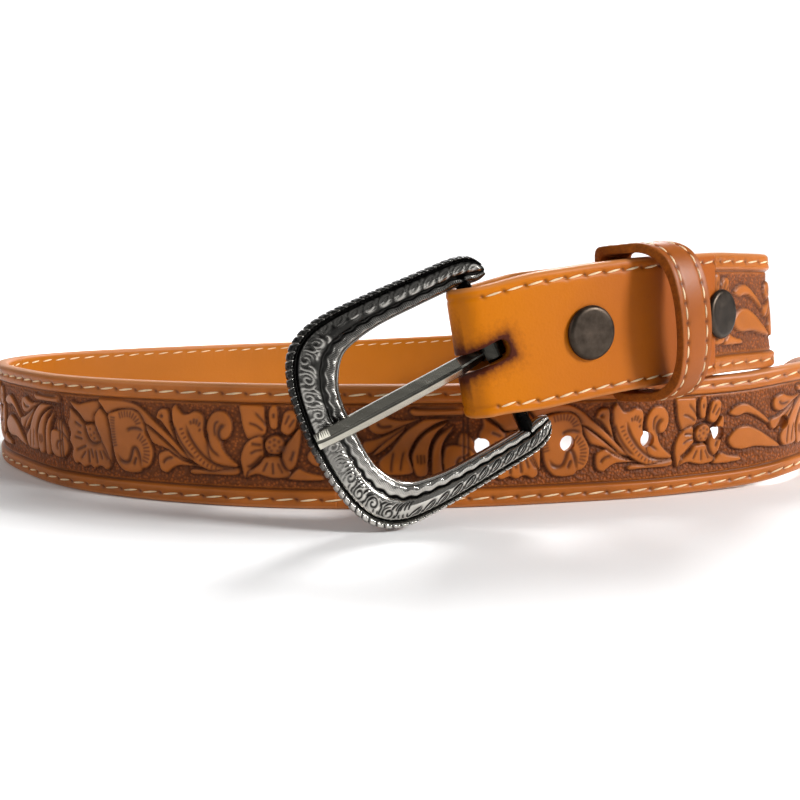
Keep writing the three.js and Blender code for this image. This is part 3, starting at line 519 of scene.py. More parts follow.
class Field:
    """Height and darkness on a raster, pressed and cut by lines given in its own units."""

    def __init__(self, low, high, cell, ground):
        self.low = np.array(low, float)
        self.cell = cell
        self.size = np.ceil((np.array(high) - low) / cell).astype(int) + 1
        self.height = np.full(self.size, float(ground))
        self.dark = np.zeros(self.size)
        self.raised = np.zeros(self.size)

    def window(self, line, margin):
        """The part of the raster round a line, and the places of its cells."""
        lo = np.floor((line.min(axis=0) - margin - self.low) / self.cell).astype(int)
        hi = np.ceil((line.max(axis=0) + margin - self.low) / self.cell).astype(int) + 1
        lo = np.clip(lo, 0, self.size)
        hi = np.clip(hi, 0, self.size)
        if (hi <= lo).any():
            return None, None
        part = (slice(lo[0], hi[0]), slice(lo[1], hi[1]))
        grid = np.meshgrid(np.arange(lo[0], hi[0]), np.arange(lo[1], hi[1]), indexing="ij")
        return part, np.stack(grid, axis=-1) * self.cell + self.low

    @staticmethod
    def nearest(places, line, closed):
        """Distance from each place to the line, how far along it is, and whether it is inside."""
        ends = np.roll(line, -1, axis=0) if closed else line[1:]
        starts = line if closed else line[:-1]
        best = np.full(places.shape[:2], 1e9)
        share = np.zeros(places.shape[:2])
        inside = np.zeros(places.shape[:2], bool)
        for k, (a, b) in enumerate(zip(starts, ends)):
            way = b - a
            t = np.clip(((places - a) @ way) / max(way @ way, 1e-9), 0, 1)
            gap = np.hypot(places[..., 0] - a[0] - t * way[0], places[..., 1] - a[1] - t * way[1])
            closer = gap < best
            best[closer] = gap[closer]
            share[closer] = (k + t[closer]) / len(starts)
            if closed and a[1] != b[1]:
                over = (places[..., 1] < a[1]) != (places[..., 1] < b[1])
                across = a[0] + (places[..., 1] - a[1]) * way[0] / way[1]
                inside ^= over & (places[..., 0] < across)
        return best, share, inside

    def raise_shape(self, outline, top=-0.3, shoulder=0.3, press=0.34):
        """Leaves a shape standing: rounded at its rim, with the leather bevelled down outside it."""
        line = softened(outline, closed=True)
        part, places = self.window(line, 2.6)
        if part is None:
            return
        gap, _, inside = self.nearest(places, line, closed=True)
        height, dark, raised = self.height[part], self.dark[part], self.raised[part]
        beside = press * np.exp(-gap / 0.7)
        lift = top - shoulder * np.exp(-gap / 0.4)
        self.height[part] = np.where(inside, lift, height - beside)
        rim = np.exp(-(gap / 0.26) ** 2)
        # Dark along the shape's rim and on the bevel outside it: antique dye and painted shade round the
        # outline
        self.dark[part] = np.where(inside, 0.8 * rim, np.maximum(dark, np.exp(-(gap / 0.75))))
        self.raised[part] = np.where(inside, 1, raised * smooth(gap / 0.3))

    def cut(self, points, width, depth=0.5, taper=True):
        """A tapered groove along a line."""
        line = softened(points, closed=False)
        part, places = self.window(line, width + 1.2)
        if part is None:
            return
        gap, share, _ = self.nearest(places, line, closed=False)
        ease = smooth(np.minimum(share, 1 - share) * 5 + 0.25) if taper else 1
        groove = np.clip(1 - gap / (0.62 * width * ease + 0.08), 0, 1) ** 0.8
        self.height[part] -= depth * groove * (0.5 + 0.5 * width)
        # Dark a little wider than the groove: antique dye and painted shade in the cut
        soft = np.exp(-(gap / (0.55 * width + 0.12)) ** 2) * ease
        self.dark[part] = np.maximum(self.dark[part], soft)

    def ladder(self, points, count, length, width=0.34):
        line = softened(points, closed=False)
        run = np.concatenate([[0], np.cumsum(np.linalg.norm(np.diff(line, axis=0), axis=1))])
        for mark in (np.arange(count) + 0.5) / count * run[-1]:
            a = np.array([np.interp(mark - 0.2, run, line[:, k]) for k in range(2)])
            b = np.array([np.interp(mark + 0.2, run, line[:, k]) for k in range(2)])
            side = np.array([a[1] - b[1], b[0] - a[0]]) / np.linalg.norm(b - a) * length / 2
            middle = (a + b) / 2
            self.cut([middle - side, middle, middle + side], width, depth=0.22)

    def soften(self):
        """A slight blur, as damp leather gives."""
        for values in (self.height, self.dark):
            for axis in (0, 1):
                values[...] = (0.5 * values + 0.25 * np.roll(values, 1, axis)
                               + 0.25 * np.roll(values, -1, axis))

    def read(self, x, y):
        """Height, darkness and rawness between the cells."""
        fx = (x - self.low[0]) / self.cell
        fy = np.clip((y - self.low[1]) / self.cell, 0, self.size[1] - 1.001)
        ix = np.floor(fx).astype(int) % (self.size[0] - 1)
        iy = np.floor(fy).astype(int)
        tx, ty = fx - np.floor(fx), fy - iy
        jx = (ix + 1) % (self.size[0] - 1)
        jy = iy + 1
        parts = []
        for values in (self.height, self.dark, self.raised):
            near = mix(values[ix, iy], values[jx, iy], tx)
            far = mix(values[ix, jy], values[jx, jy], tx)
            parts.append(mix(near, far, ty))
        return parts


def tooling_field():
    """The floral repeat as a field over one pitch of the strap."""
    reach = STRAP_WIDTH / 2 - GROOVE_END + 1
    field = Field((CHART_START, -reach), (CHART_START + CHART_PITCH, reach), TOOLING_CELL,
                  -GROUND_DEPTH)
    moves = [np.array([k * CHART_PITCH, 0]) for k in (-1, 0, 1)]
    for _, outline in LEAVES:
        for move in moves:
            field.raise_shape(np.array(outline) + move)
    for width, line in CUTS:
        for move in moves:
            field.cut(np.array(line) + move, width)
    for line, count, length in LADDERS:
        for move in moves:
            field.ladder(np.array(line) + move, count, length)
    for seed in SEEDS:
        for move in moves:
            spot = np.array([seed, np.add(seed, (0.05, 0))]) + move
            field.cut(spot, 0.75, depth=0.35, taper=False)
    field.soften()
    return field


TOOLING = tooling_field()


def edge_distance(s, w):
    """Distance in from the strap's outline, which closes round the tip."""
    gap = half_width(s) - np.abs(w)
    near_tip = s > WAY.total - TIP_LENGTH - 8
    if near_tip.any():
        marks = WAY.total - np.concatenate([[0, 0.05, 0.12], np.linspace(0.2, TIP_LENGTH + 12, 150)])
        halves = half_width(marks)
        xs, ws = s[near_tip][:, None], np.abs(w[near_tip])[:, None]
        round_gap = np.hypot(marks - xs, halves - ws).min(axis=1)
        end_gap = WAY.total - s[near_tip]
        inside = np.minimum(round_gap, np.maximum(end_gap, 0))
        gap[near_tip] = np.where(gap[near_tip] <= 0.001, 0, inside)
    return np.maximum(gap, 0)


def stitch_dent(s, w, pitch, half):
    """How strongly each place is pulled down at the stitch holes, from 0 to 1."""
    along = ((s / pitch + 0.5) % 1 - 0.5) * pitch
    across = half - np.abs(w) - STITCH_INSET
    slant = along - 0.5 * across * np.sign(w)
    return np.exp(-(slant / DENT_SIZE) ** 2 - (across / DENT_SIZE) ** 2)


def plain_face(s, w, pitch):
    """Height, darkness and bare edge of smooth leather with a row of stitches."""
    gap = edge_distance(s, w)
    dent = stitch_dent(s, w, pitch, half_width(s))
    height = np.interp(np.minimum(gap, PLAIN_BORDER_TO), BORDER_TABLE[:, 0],
                       np.minimum(BORDER_TABLE[:, 1], 0.05)) - 0.3 * dent
    # The stitch dents also serve as darkness: painted shade in the stitch holes
    return height, dent, smooth(EDGE_ROUNDING - gap)


def tooled_face(s, w):
    """Height, darkness, matting and bare edge of the strap's outer side."""
    gap = edge_distance(s, w)
    dent = stitch_dent(s, w, STITCH_PITCH, half_width(s))
    inside = FRAME_CORNER - 0.05
    start = np.maximum(s - FRAME_LINE_AT + FRAME_CORNER, inside)
    gap = np.where(gap > inside, np.minimum(gap, start), gap)
    border = np.interp(gap, BORDER_TABLE[:, 0], BORDER_TABLE[:, 1]) - 0.3 * dent
    q = s - (WAY.total - CHART_ZERO_FROM_TIP)
    q = np.where(q < FRONT_FROM, FRONT_FROM + (q - FRONT_FROM) * REAR_CLOSER, q)
    height, dark, raised = TOOLING.read(CHART_START + (q - CHART_START) % CHART_PITCH, w)
    bead = (np.exp(-((gap - BEAD_LINE_AT) / 0.28) ** 2)
            * (0.5 + 0.5 * np.cos(s * 2 * math.pi / BEAD_PITCH)))
    height = height + 0.22 * bead * (1 - raised)
    near_tip = smooth((WAY.total - s - 6) / 5)
    share = smooth((gap - 6.0) / 0.9) * near_tip
    border = mix(np.maximum(border, -0.3), border, near_tip)
    groove = np.exp(-((gap - GROOVE_AT) / 0.36) ** 2) * near_tip
    # Painted shade in the stitch holes and the border groove, over the tooling's dark of dye and painted
    # shade
    shade = np.maximum(np.maximum(mix(0.95 * dent, dark, share), 0.9 * groove), 0)
    return mix(border, height, share), shade, share * (1 - raised), smooth(EDGE_ROUNDING - gap)


def bent_grid(name, columns, rows, place, closed_columns=False):
    """A grid of faces whose corners go to place(column, row), which also gives named values."""
    bm = bmesh.new()
    bmesh.ops.create_grid(bm, x_segments=columns - 1, y_segments=rows - 1, size=1)
    corners = np.array([v.co[:2] for v in bm.verts])
    i = np.rint((corners[:, 0] + 1) / 2 * (columns - 1)).astype(int)
    j = np.rint((corners[:, 1] + 1) / 2 * (rows - 1)).astype(int)
    points, values = place(i, j)
    mesh = bpy.data.meshes.new(name)
    bm.to_mesh(mesh)
    bm.free()
    mesh.vertices.foreach_set("co", (points * MM).ravel())
    for key, value in values.items():
        wide = value.ndim == 2
        kind = "FLOAT_VECTOR" if wide else "FLOAT"
        layer = mesh.attributes.new(key, kind, "POINT")
        layer.data.foreach_set("vector" if wide else "value", value.astype(np.float32).ravel())
    bm = bmesh.new()
    bm.from_mesh(mesh)
    bmesh.ops.remove_doubles(bm, verts=bm.verts, dist=2e-6)
    if not closed_columns:
        bmesh.ops.holes_fill(bm, edges=[e for e in bm.edges if e.is_boundary], sides=0)
    bmesh.ops.recalc_face_normals(bm, faces=bm.faces)
    for face in bm.faces:
        face.smooth = True
    bm.to_mesh(mesh)
    bm.free()
    return as_piece(name, mesh)


def as_piece(name, mesh):
    piece = bpy.data.objects.new(name, mesh)
    bpy.context.scene.collection.objects.link(piece)
    return piece


def piece_from(name, bm, shaded_smooth=True):
    bmesh.ops.recalc_face_normals(bm, faces=bm.faces)
    for face in bm.faces:
        face.smooth = shaded_smooth
    mesh = bpy.data.meshes.new(name)
    bm.to_mesh(mesh)
    bm.free()
    return as_piece(name, mesh)


def turned(middle, x, y, z):
    """Matrix that carries a shape's own axes to three directions at a place given in millimetres."""
    made = Matrix.Identity(4)
    for column, axis in enumerate((x, y, z)):
        for row in range(3):
            made[row][column] = float(axis[row])
    for row in range(3):
        made[row][3] = float(middle[row]) * MM
    return made


def punch(piece, bm):
    """Cuts closed shapes out of a piece. New corners take the values of the nearest old corner."""
    old = piece.data
    keys = [a.name for a in old.attributes if a.domain == "POINT" and not a.is_internal
            and a.name not in ("position", "sharp_face")]
    tree = kdtree.KDTree(len(old.vertices))
    for index, vertex in enumerate(old.vertices):
        tree.insert(vertex.co, index)
    tree.balance()
    cutter = piece_from(piece.name + "_cutter", bm)
    cut = piece.modifiers.new("Punch", "BOOLEAN")
    cut.operation = "DIFFERENCE"
    cut.solver = "MANIFOLD"
    cut.object = cutter
    graph = bpy.context.evaluated_depsgraph_get()
    fresh = bpy.data.meshes.new_from_object(piece.evaluated_get(graph))
    piece.modifiers.clear()
    near = np.array([tree.find(v.co)[1] for v in fresh.vertices])
    for key in keys:
        source = old.attributes[key]
        wide = source.data_type == "FLOAT_VECTOR"
        field = "vector" if wide else "value"
        values = np.empty(len(old.vertices) * (3 if wide else 1), np.float32)
        source.data.foreach_get(field, values)
        values = values.reshape(len(old.vertices), -1)[near]
        if key in fresh.attributes:
            fresh.attributes.remove(fresh.attributes[key])
        layer = fresh.attributes.new(key, source.data_type, "POINT")
        layer.data.foreach_set(field, values.ravel())
    piece.data = fresh
    bpy.data.objects.remove(cutter)
    for face in fresh.polygons:
        face.use_smooth = True


def finish_piece(piece, body, material, nodes=()):
    piece.data.materials.clear()
    piece.data.materials.append(material)
    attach(piece, body)
    if nodes:
        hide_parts(*nodes)


def section_rows(band_pitch, edges):
    """Rows of the strap's section, all the way round, as shares of the half width and insets."""
    band = STRAP_WIDTH / 2 - GROOVE_END
    count = max(2, int(round(2 * band / band_pitch)))
    shares = np.linspace(-1, 1, count + 1)[1:-1]
    edges = np.array(edges)
    top_a = np.concatenate([-np.ones(len(edges)), shares, np.ones(len(edges))])
    top_b = np.concatenate([edges, -shares * GROOVE_END, -edges[::-1]])
    under = np.array([0, 0.12, 0.4, 0.8, 1.3, 2.2, 2.9, 3.6, 6.5, 12])
    low_a = np.concatenate([np.ones(len(under)), [0], -np.ones(len(under))])
    low_b = np.concatenate([-under, [0], under[::-1]])
    a = np.concatenate([top_a, low_a, top_a[:1]])
    b = np.concatenate([top_b, low_b, top_b[:1]])
    outer = np.concatenate([np.ones(len(top_a)), np.zeros(len(low_a)), [1]])
    return a, b, outer


FINE_EDGES = [row[0] for row in BORDER_ROWS]
COARSE_EDGES = [0, 0.25, 0.8, 1.3, 2.3, 2.9, 3.5, 4.5, 5.1, 5.5, 5.85, 6.15, 6.5]


def strap_piece(name, marks, band_pitch, edges):
    """A closed length of the tooled strap between its first and last mark."""
    a, b, outer = section_rows(band_pitch, edges)

    def place(i, j):
        s = marks[i]
        half = half_width(s)
        w = a[j] * half + b[j] * np.minimum(1, half / (STRAP_WIDTH / 2))
        height, dark, matted, edge = tooled_face(s, w)
        gap = edge_distance(s, w)
        dent = stitch_dent(s, w, STITCH_PITCH, half)
        below = -thickness(s) - np.interp(gap, EDGE_TABLE[:, 0], EDGE_TABLE[:, 1]) + 0.22 * dent
        on_top = outer[j] > 0.5
        n = np.where(on_top, height, below)
        back_edge = np.where(gap < EDGE_ROUNDING, smooth(EDGE_ROUNDING - gap), 0)
        return WAY.laid(s, w, n), {
            "lay": np.stack([s, w, n], axis=1) * MM,
            # Darkness for the cut colour: tooling's dye and painted shade on top, painted shade in the
            # stitch holes behind
            "cut": np.where(on_top, dark, 0.8 * dent),
            "matted": np.where(on_top, matted, 0),
            "raw_edge": np.where(on_top, edge, back_edge),
            "lining": np.where(on_top, 0.0, 1 - back_edge),
        }

    return bent_grid(name, len(marks), len(a), place)


def billet_piece(name):
    """The plain stretch, its fold round the bar and the flap behind, closed at both ends."""
    a, b, outer = section_rows(0.9, FINE_EDGES[:16])
    straight = np.linspace(FRAME_LINE_AT, FOLD_CENTRE_AT, 190)
    bend = np.linspace(0, 1, 30)[1:-1]
    flap = np.linspace(FOLD_CENTRE_AT, FLAP_END_AT, 120)
    marks = np.concatenate([straight, np.full(len(bend), FOLD_CENTRE_AT), flap])
    kind = np.concatenate([np.zeros(len(straight)), np.ones(len(bend)), np.full(len(flap), 2)])
    turn = np.concatenate([np.zeros(len(straight)), bend * math.pi, np.full(len(flap), math.pi)])
    fold_outer = POCKET_GAP / 2 + FOLD_THICKNESS
    at, _, out, up = WAY.stations(marks)
    skive = smooth((marks - FLAP_END_AT) / SKIVE_LENGTH + 1)
    flap_thick = mix(FOLD_THICKNESS, FLAP_END_THICKNESS, skive)
    deep = thickness(marks) + layer_gap(marks) + flap_thick
    thick = np.where(kind == 0, thickness(marks), np.where(kind == 1, FOLD_THICKNESS, flap_thick))
    swung = out * np.cos(turn)[:, None] - np.cross(up, out) * np.sin(turn)[:, None]
    centre = at - out * fold_outer
    foot = np.where((kind == 1)[:, None], centre + swung * fold_outer, at - out * deep[:, None])
    foot = np.where((kind == 0)[:, None], at, foot)
    swung = np.where((kind == 2)[:, None], -out, swung)

    def place(i, j):
        s = marks[i]
        half = half_width(s)
        w = a[j] * half + b[j]
        height, dark, edge = plain_face(s, w, BILLET_STITCH_PITCH)
        rounding = np.interp(edge_distance(s, w), EDGE_TABLE[:, 0], EDGE_TABLE[:, 1])
        squeeze = np.minimum(1, thick[i] / BILLET_THICKNESS)
        front = np.where(kind[i] < 2, height, np.minimum(height, rounding)) * squeeze
        below = -thick[i] - rounding * squeeze
        on_top = outer[j] > 0.5
        n = np.where(on_top, front, below)
        points = foot[i] + up[i] * w[:, None] + swung[i] * n[:, None]
        return points, {
            "lay": np.stack([np.where(kind[i] == 2, -s, s), w, n], axis=1) * MM,
            # Painted shade in the stitch holes of the buckle end
            "cut": np.where(on_top & (kind[i] < 2), dark, 0),
            "raw_edge": edge,
            "lining": np.where(on_top, 0.0, 1 - edge),
            "slot_stain_and_shade": slot_stain_and_shade(points),
        }

    return bent_grid(name, len(marks), len(a), place)


def slot_axes():
    """Middle of the slot, and the directions along and across it."""
    way = REACH - BILLET_OUT * (REACH @ BILLET_OUT)
    way /= np.linalg.norm(way)
    up = np.cross(BILLET_OUT, way)
    middle = from_buckle(0, BAR_DROP, 0) + way * (SLOT_LENGTH - SLOT_PAST_BAR)
    return middle, way, up


def slot_stain_and_shade(points):
    """Staining round the prong slot and painted shade inside it, from 0 to 1."""
    middle, way, up = slot_axes()
    x = (points - middle) @ way
    y = (points - middle) @ up
    ragged = 0.5 * np.sin(x * 2.3) + 0.35 * np.sin(x * 5.1 + y * 1.7)
    outside = np.hypot(np.maximum(0, -x - SLOT_LENGTH), np.maximum(0, np.abs(y) - SLOT_WIDTH / 2))
    depth = (points - middle) @ BILLET_OUT
    inner_layer = (np.abs(depth) < POCKET_GAP / 2 + 0.2)
    # On the inner layer, seen through the slot, the darkening reaches further: painted shade inside the
    # slot. Round the slot's rim it is staining.
    reach = np.where(inner_layer, 5.0, 1.8)
    return np.exp(-np.maximum(0, outside + 0.3 * ragged) / reach)


def add_rod(bm, a, b, radius, sides, flare=1.0):
    a, b = np.array(a, float), np.array(b, float)
    axis = Vector(b - a)
    turn = axis.to_track_quat("Z", "Y").to_matrix().to_4x4()
    place = Matrix.Translation(Vector((a + b) / 2 * MM)) @ turn
    bmesh.ops.create_cone(bm, cap_ends=True, segments=sides, radius1=radius * MM,
                          radius2=radius * flare * MM, depth=axis.length * MM, matrix=place)


def times(colour, share):
    return tuple(share * c for c in colour)


class Finish:
    """A material under construction: short calls for the nodes it is made of."""

    def __init__(self, name, colour, roughness, metallic=0.0):
        self.material = bpy.data.materials.new(name)
        self.material.use_nodes = True
        self.tree = self.material.node_tree
        self.shader = self.tree.nodes["Principled BSDF"]
        self.shader.inputs["Base Color"].default_value = (*colour, 1)
        self.shader.inputs["Roughness"].default_value = roughness
        self.shader.inputs["Metallic"].default_value = metallic
        self.coordinates = self.tree.nodes.new("ShaderNodeTexCoord").outputs["Object"]

    def link(self, source, target):
        self.tree.links.new(source, target)

    def fill(self, socket, value):
        """Gives a socket a value, a colour or another node's output."""
        if isinstance(value, (int, float)):
            socket.default_value = value
        elif isinstance(value, tuple):
            socket.default_value = value if socket.type == "VECTOR" else (*value, 1)
        else:
            self.link(value, socket)

    def add(self, kind, **sockets):
        node = self.tree.nodes.new("ShaderNode" + kind)
        for key, value in sockets.items():
            self.fill(node.inputs[key], value)
        return node

    def value(self, key, wide=False):
        """A value that the mesh carries at its corners."""
        node = self.add("Attribute")
        node.attribute_name = key
        return node.outputs["Vector" if wide else "Fac"]

    def noise(self, scale, detail, roughness, vector=None):
        return self.add("TexNoise", Scale=scale, Detail=detail, Roughness=roughness,
                        Vector=vector or self.coordinates).outputs["Fac"]

    def cells(self, scale):
        return self.add("TexVoronoi", Scale=scale, Vector=self.coordinates).outputs["Distance"]

    def stretched(self, scale):
        return self.add("Mapping", Vector=self.coordinates, Scale=scale).outputs["Vector"]

    def math(self, operation, a, b, clamp=False):
        node = self.add("Math")
        node.operation = operation
        node.use_clamp = clamp
        self.fill(node.inputs[0], a)
        self.fill(node.inputs[1], b)
        return node.outputs[0]

    def ramp(self, source, *stops):
        """A colour or value ramp from (position, colour) stops."""
        node = self.add("ValToRGB", Fac=source)
        for element, (position, colour) in zip(node.color_ramp.elements, stops):
            element.position = position
            element.color = (*colour, 1) if len(np.shape(colour)) else (colour, colour, colour, 1)
        return node.outputs["Color"]

    def shades(self, source, colour, low, high, start=0.3, end=0.7):
        """A ramp from one share of a colour to another."""
        return self.ramp(source, (start, times(colour, low)), (end, times(colour, high)))

    def blend(self, amount, first, second):
        node = self.add("Mix")
        node.data_type = "RGBA"
        for key, value in (("Factor", amount), ("A", first), ("B", second)):
            self.fill(node.inputs[key], value)
        return node.outputs["Result"]

    def over(self, toned, key, strength, colour):
        """Lays a colour over the one so far where the mesh's value says so."""
        return self.blend(self.math("MULTIPLY", self.value(key), strength), toned, colour)

    def bump(self, source, strength, distance, under=None):
        node = self.add("Bump", Strength=strength, Distance=distance, Height=source)
        if under is not None:
            self.link(under, node.inputs["Normal"])
        return node.outputs["Normal"]

    def done(self, specular=None, **sources):
        """Links the shader's sockets and gives back the material."""
        for key, source in sources.items():
            self.link(source, self.shader.inputs[key.replace("_", " ").title()])
        if specular is not None:
            self.shader.inputs["Specular IOR Level"].default_value = specular
        return self.material


def tooled_leather(look):
    """Oiled tan leather: bright where it stands proud, dark and matted in the ground."""
    finish = Finish("Tooled leather", look.raised, 0.42)
    mottle = finish.noise(55, 5, 0.6)
    cloud = finish.noise(14, 3, 0.5)
    stipple = finish.cells(950)
    toned = finish.shades(mottle, look.raised, 0.70, 1.12)
    toned = finish.blend(finish.ramp(cloud, (0.35, 0.0), (0.7, 0.5)), toned, tuple(look.border))
    toned = finish.over(toned, "matted", 0.88,
                        finish.shades(stipple, look.ground, 1.5, 0.55, 0.1, 0.55))
    # Cuts and bevels: antique dye and painted shade; stitch holes: painted shade
    toned = finish.over(toned, "cut", 0.86, tuple(look.cut))
    toned = finish.blend(finish.value("lining"), toned, finish.shades(cloud, look.lining, 1, 0.82))
    toned = finish.over(toned, "raw_edge", 0.75, tuple(look.raw_edge))
    dull = finish.math("ADD", finish.value("matted"), finish.math("MULTIPLY", mottle, 0.3))
    grain = finish.bump(finish.noise(700, 5, 0.7), 0.4, 0.0002)
    pits = finish.math("MULTIPLY", stipple, finish.value("matted"))
    return finish.done(
        specular=0.22, base_color=toned, roughness=finish.ramp(dull, (0.0, 0.36), (1.0, 0.62)),
        normal=finish.bump(pits, 1.0, 0.0004, under=grain))


def billet_leather(look):
    """Smooth bright leather of the buckle end, darker toward the keeper, stained round the slot, with
    painted shade inside the slot.
    """
    finish = Finish("Smooth leather", look.billet, 0.4)
    lay = finish.add("SeparateXYZ", Vector=finish.value("lay", wide=True)).outputs[0]
    mottle = finish.noise(38, 5, 0.6)
    along = finish.math("ADD", finish.math("MULTIPLY", lay, 11.0),
                        finish.math("MULTIPLY", mottle, 0.28))
    dark, pores = tuple(look.billet_dark), finish.cells(1300)
    toned = finish.ramp(along, (0.32, tuple(look.billet)), (0.95, dark))
    toned = finish.blend(finish.ramp(pores, (0.0, 0.22), (0.25, 0.0)), toned, dark)
    # Staining round the slot's rim and painted shade inside the slot
    ragged_stain_and_shade = finish.math("ADD", finish.value("slot_stain_and_shade"),
                       finish.math("MULTIPLY", finish.noise(900, 5, 0.7), 0.5))
    toned = finish.blend(finish.ramp(ragged_stain_and_shade, (0.30, 0.0), (1.0, 0.97)), toned, tuple(look.stain_and_shade))
    # Painted shade in the stitch holes
    toned = finish.over(toned, "cut", 0.8, tuple(look.cut))
    toned = finish.blend(finish.value("lining"), toned, tuple(look.lining))
    toned = finish.over(toned, "raw_edge", 0.75, tuple(look.raw_edge))
    grain = finish.bump(finish.noise(900, 4, 0.65), 0.3, 0.00015)
    return finish.done(
        specular=0.12, base_color=toned, roughness=finish.ramp(mottle, (0.3, 0.36), (0.7, 0.48)),
        normal=finish.bump(pores, 0.2, 0.00012, under=grain))


def keeper_leather(look):
    """Smooth tan ring with a rough suede rim."""
    finish = Finish("Keeper leather", look.keeper, 0.45)
    rim = finish.value("raw_edge")
    fibre = finish.noise(700, 6, 0.75)
    toned = finish.shades(finish.noise(45, 5, 0.6), look.keeper, 0.82, 1.1)
    toned = finish.blend(rim, toned, finish.shades(fibre, look.keeper, 0.45, 1.0))
    # Painted shade in the stitch holes
    toned = finish.over(toned, "cut", 0.85, tuple(look.cut))
    grain = finish.bump(finish.noise(1100, 3, 0.6), 0.3, 0.00012)
    suede = finish.math("MULTIPLY", fibre, rim)
    return finish.done(
        specular=0.22, base_color=toned, roughness=finish.ramp(rim, (0.0, 0.42), (1.0, 0.85)),
        normal=finish.bump(suede, 0.9, 0.0006, under=grain))


def thread(look):
    """Waxed cream thread with its twist."""
    finish = Finish("Waxed thread", look.thread, 0.6)
    worn = finish.noise(220, 3, 0.6)
    return finish.done(
        base_color=finish.shades(worn, look.thread, 0.62, 1, 0.35, 0.65),
        normal=finish.bump(finish.noise(2400, 2, 0.5), 0.5, 0.0002))


def antique_silver(look):
    """Blackened silver, worn bright on its high parts, with a painted dark reflection and painted
    highlight lines over the upper arm.
    """
    finish = Finish("Antique silver", look.silver, 0.22, 1.0)
    scuff = finish.noise(240, 5, 0.65)
    silver = finish.shades(finish.noise(60, 3, 0.5), look.silver, 0.72, 1)
    # The brightness value: wear and blackening on the lower bow, painted dark reflection with painted
    # highlight lines over the upper arm
    worn = finish.math("MULTIPLY", finish.value("bright"), 1.0, clamp=True)
    dull = finish.math("SUBTRACT", finish.math("MULTIPLY", scuff, 0.4),
                       finish.math("MULTIPLY", worn, 0.2))
    return finish.done(
        base_color=finish.blend(worn, tuple(look.black), silver),
        roughness=finish.ramp(dull, (0.0, 0.18), (0.4, 0.4)),
        normal=finish.bump(scuff, 0.12, 0.0001))


def drawn_steel(look):
    """The prong: drawn steel, with a painted reflection of set brightness on each facet and painted
    shade toward the bar.
    """
    finish = Finish("Drawn steel", look.steel, 0.2, 1.0)
    marks = finish.noise(160, 5, 0.6, vector=finish.stretched((1, 1, 6)))
    tone = finish.math("ADD", finish.value("bright"), finish.math("MULTIPLY", marks, 0.12))
    return finish.done(
        base_color=finish.shades(tone, look.steel, 0.05, 1, 0.05, 1.0),
        roughness=finish.ramp(marks, (0.3, 0.16), (0.7, 0.28)),
        normal=finish.bump(finish.noise(900, 3, 0.5), 0.05, 0.0001))


def gunmetal(look):
    """Dark snap metal, slightly worn."""
    finish = Finish("Gunmetal", look.gunmetal, 0.38, 1.0)
    worn = finish.noise(330, 5, 0.6)
    return finish.done(
        base_color=finish.shades(worn, look.gunmetal, 0.75, 1.5, 0.3, 0.75),
        roughness=finish.ramp(worn, (0.3, 0.30), (0.7, 0.5)),
        normal=finish.bump(finish.noise(1400, 3, 0.6), 0.15, 0.0001))


def floor_paint(look):
    """Plain pale sheet with a barely seen unevenness."""
    finish = Finish("Pale floor", look.floor, 0.75)
    return finish.done(base_color=finish.shades(finish.noise(3, 2, 0.5), look.floor, 0.985, 1))


def colour_property(name, description, default):
    return bpy.props.FloatVectorProperty(
        name=name, description=description, subtype="COLOR", size=3, min=0, max=1, default=default)


def amount(name, description, default, **limits):
    return bpy.props.FloatProperty(name=name, description=description, default=default, **limits)


def power(name, description, default):
    return amount(name, description, default, min=0, unit="POWER")


class BeltLook(bpy.types.PropertyGroup):
    """Colours of the leather, thread, metals and floor."""

    raised: colour_property("Raised leather", "Tooled shapes that stand proud", linear(166, 92, 32))
    border: colour_property("Border leather", "Smooth borders and worn patches", linear(180, 99, 24))
    ground: colour_property("Matted ground", "Stippled ground between the shapes", linear(128, 64, 20))
    # Dark laid in cuts, bevels, grooves and stitch holes: antique dye and painted shade
    cut: colour_property("Cuts", "Knife cuts, grooves and stitch holes", linear(52, 20, 6))
    lining: colour_property("Inner face", "Back of the strap", linear(176, 101, 14))
    raw_edge: colour_property("Edge", "Burnished edges", linear(186, 122, 72))
    billet: colour_property("Smooth leather", "Buckle end near the fold", linear(190, 107, 2))
    billet_dark: colour_property("Aged leather", "Buckle end near the keeper", linear(156, 80, 22))
    # Colour of the staining round the slot and of the painted shade inside it
    stain_and_shade: colour_property("Slot stain", "Darkening round the prong slot", linear(58, 14, 5))
    keeper: colour_property("Keeper", "Keeper leather", linear(150, 76, 6))
    thread: colour_property("Thread", "Stitching thread", linear(242, 212, 168))
    silver: colour_property("Silver", "Bright parts of the buckle", linear(226, 222, 214))
    # Also the colour of the painted dark reflection over the upper arm of the buckle
    black: colour_property("Blackening", "Recesses of the buckle", linear(10, 10, 10))
    steel: colour_property("Steel", "Prong", linear(214, 210, 196))
    gunmetal: colour_property("Gunmetal", "Snap caps and studs", linear(60, 52, 45))
    floor: colour_property("Floor", "Pale floor and backdrop", linear(246, 246, 246))


class BeltSizes(bpy.types.PropertyGroup):
    """Sizes of the work that lies on the strap."""

    band_step: amount("Tooling step", "Mesh step over the front of the loop, in mm", 0.34,
                      min=0.2, max=2)
    far_step: amount("Far tooling step", "Mesh step round the back of the loop, in mm", 0.6,
                     min=0.3, max=3)
    thread_width: amount("Thread width", "Width of a stitch, in mm", 0.64, min=0.3, max=2)
    thread_share: amount("Stitch length", "Length of a stitch as a share of its pitch", 0.80,
                         min=0.3, max=1, subtype="FACTOR")
    stitch_slant: amount("Stitch slant", "Turn of each stitch against its row", math.radians(7),
                         min=0, max=0.6, subtype="ANGLE")


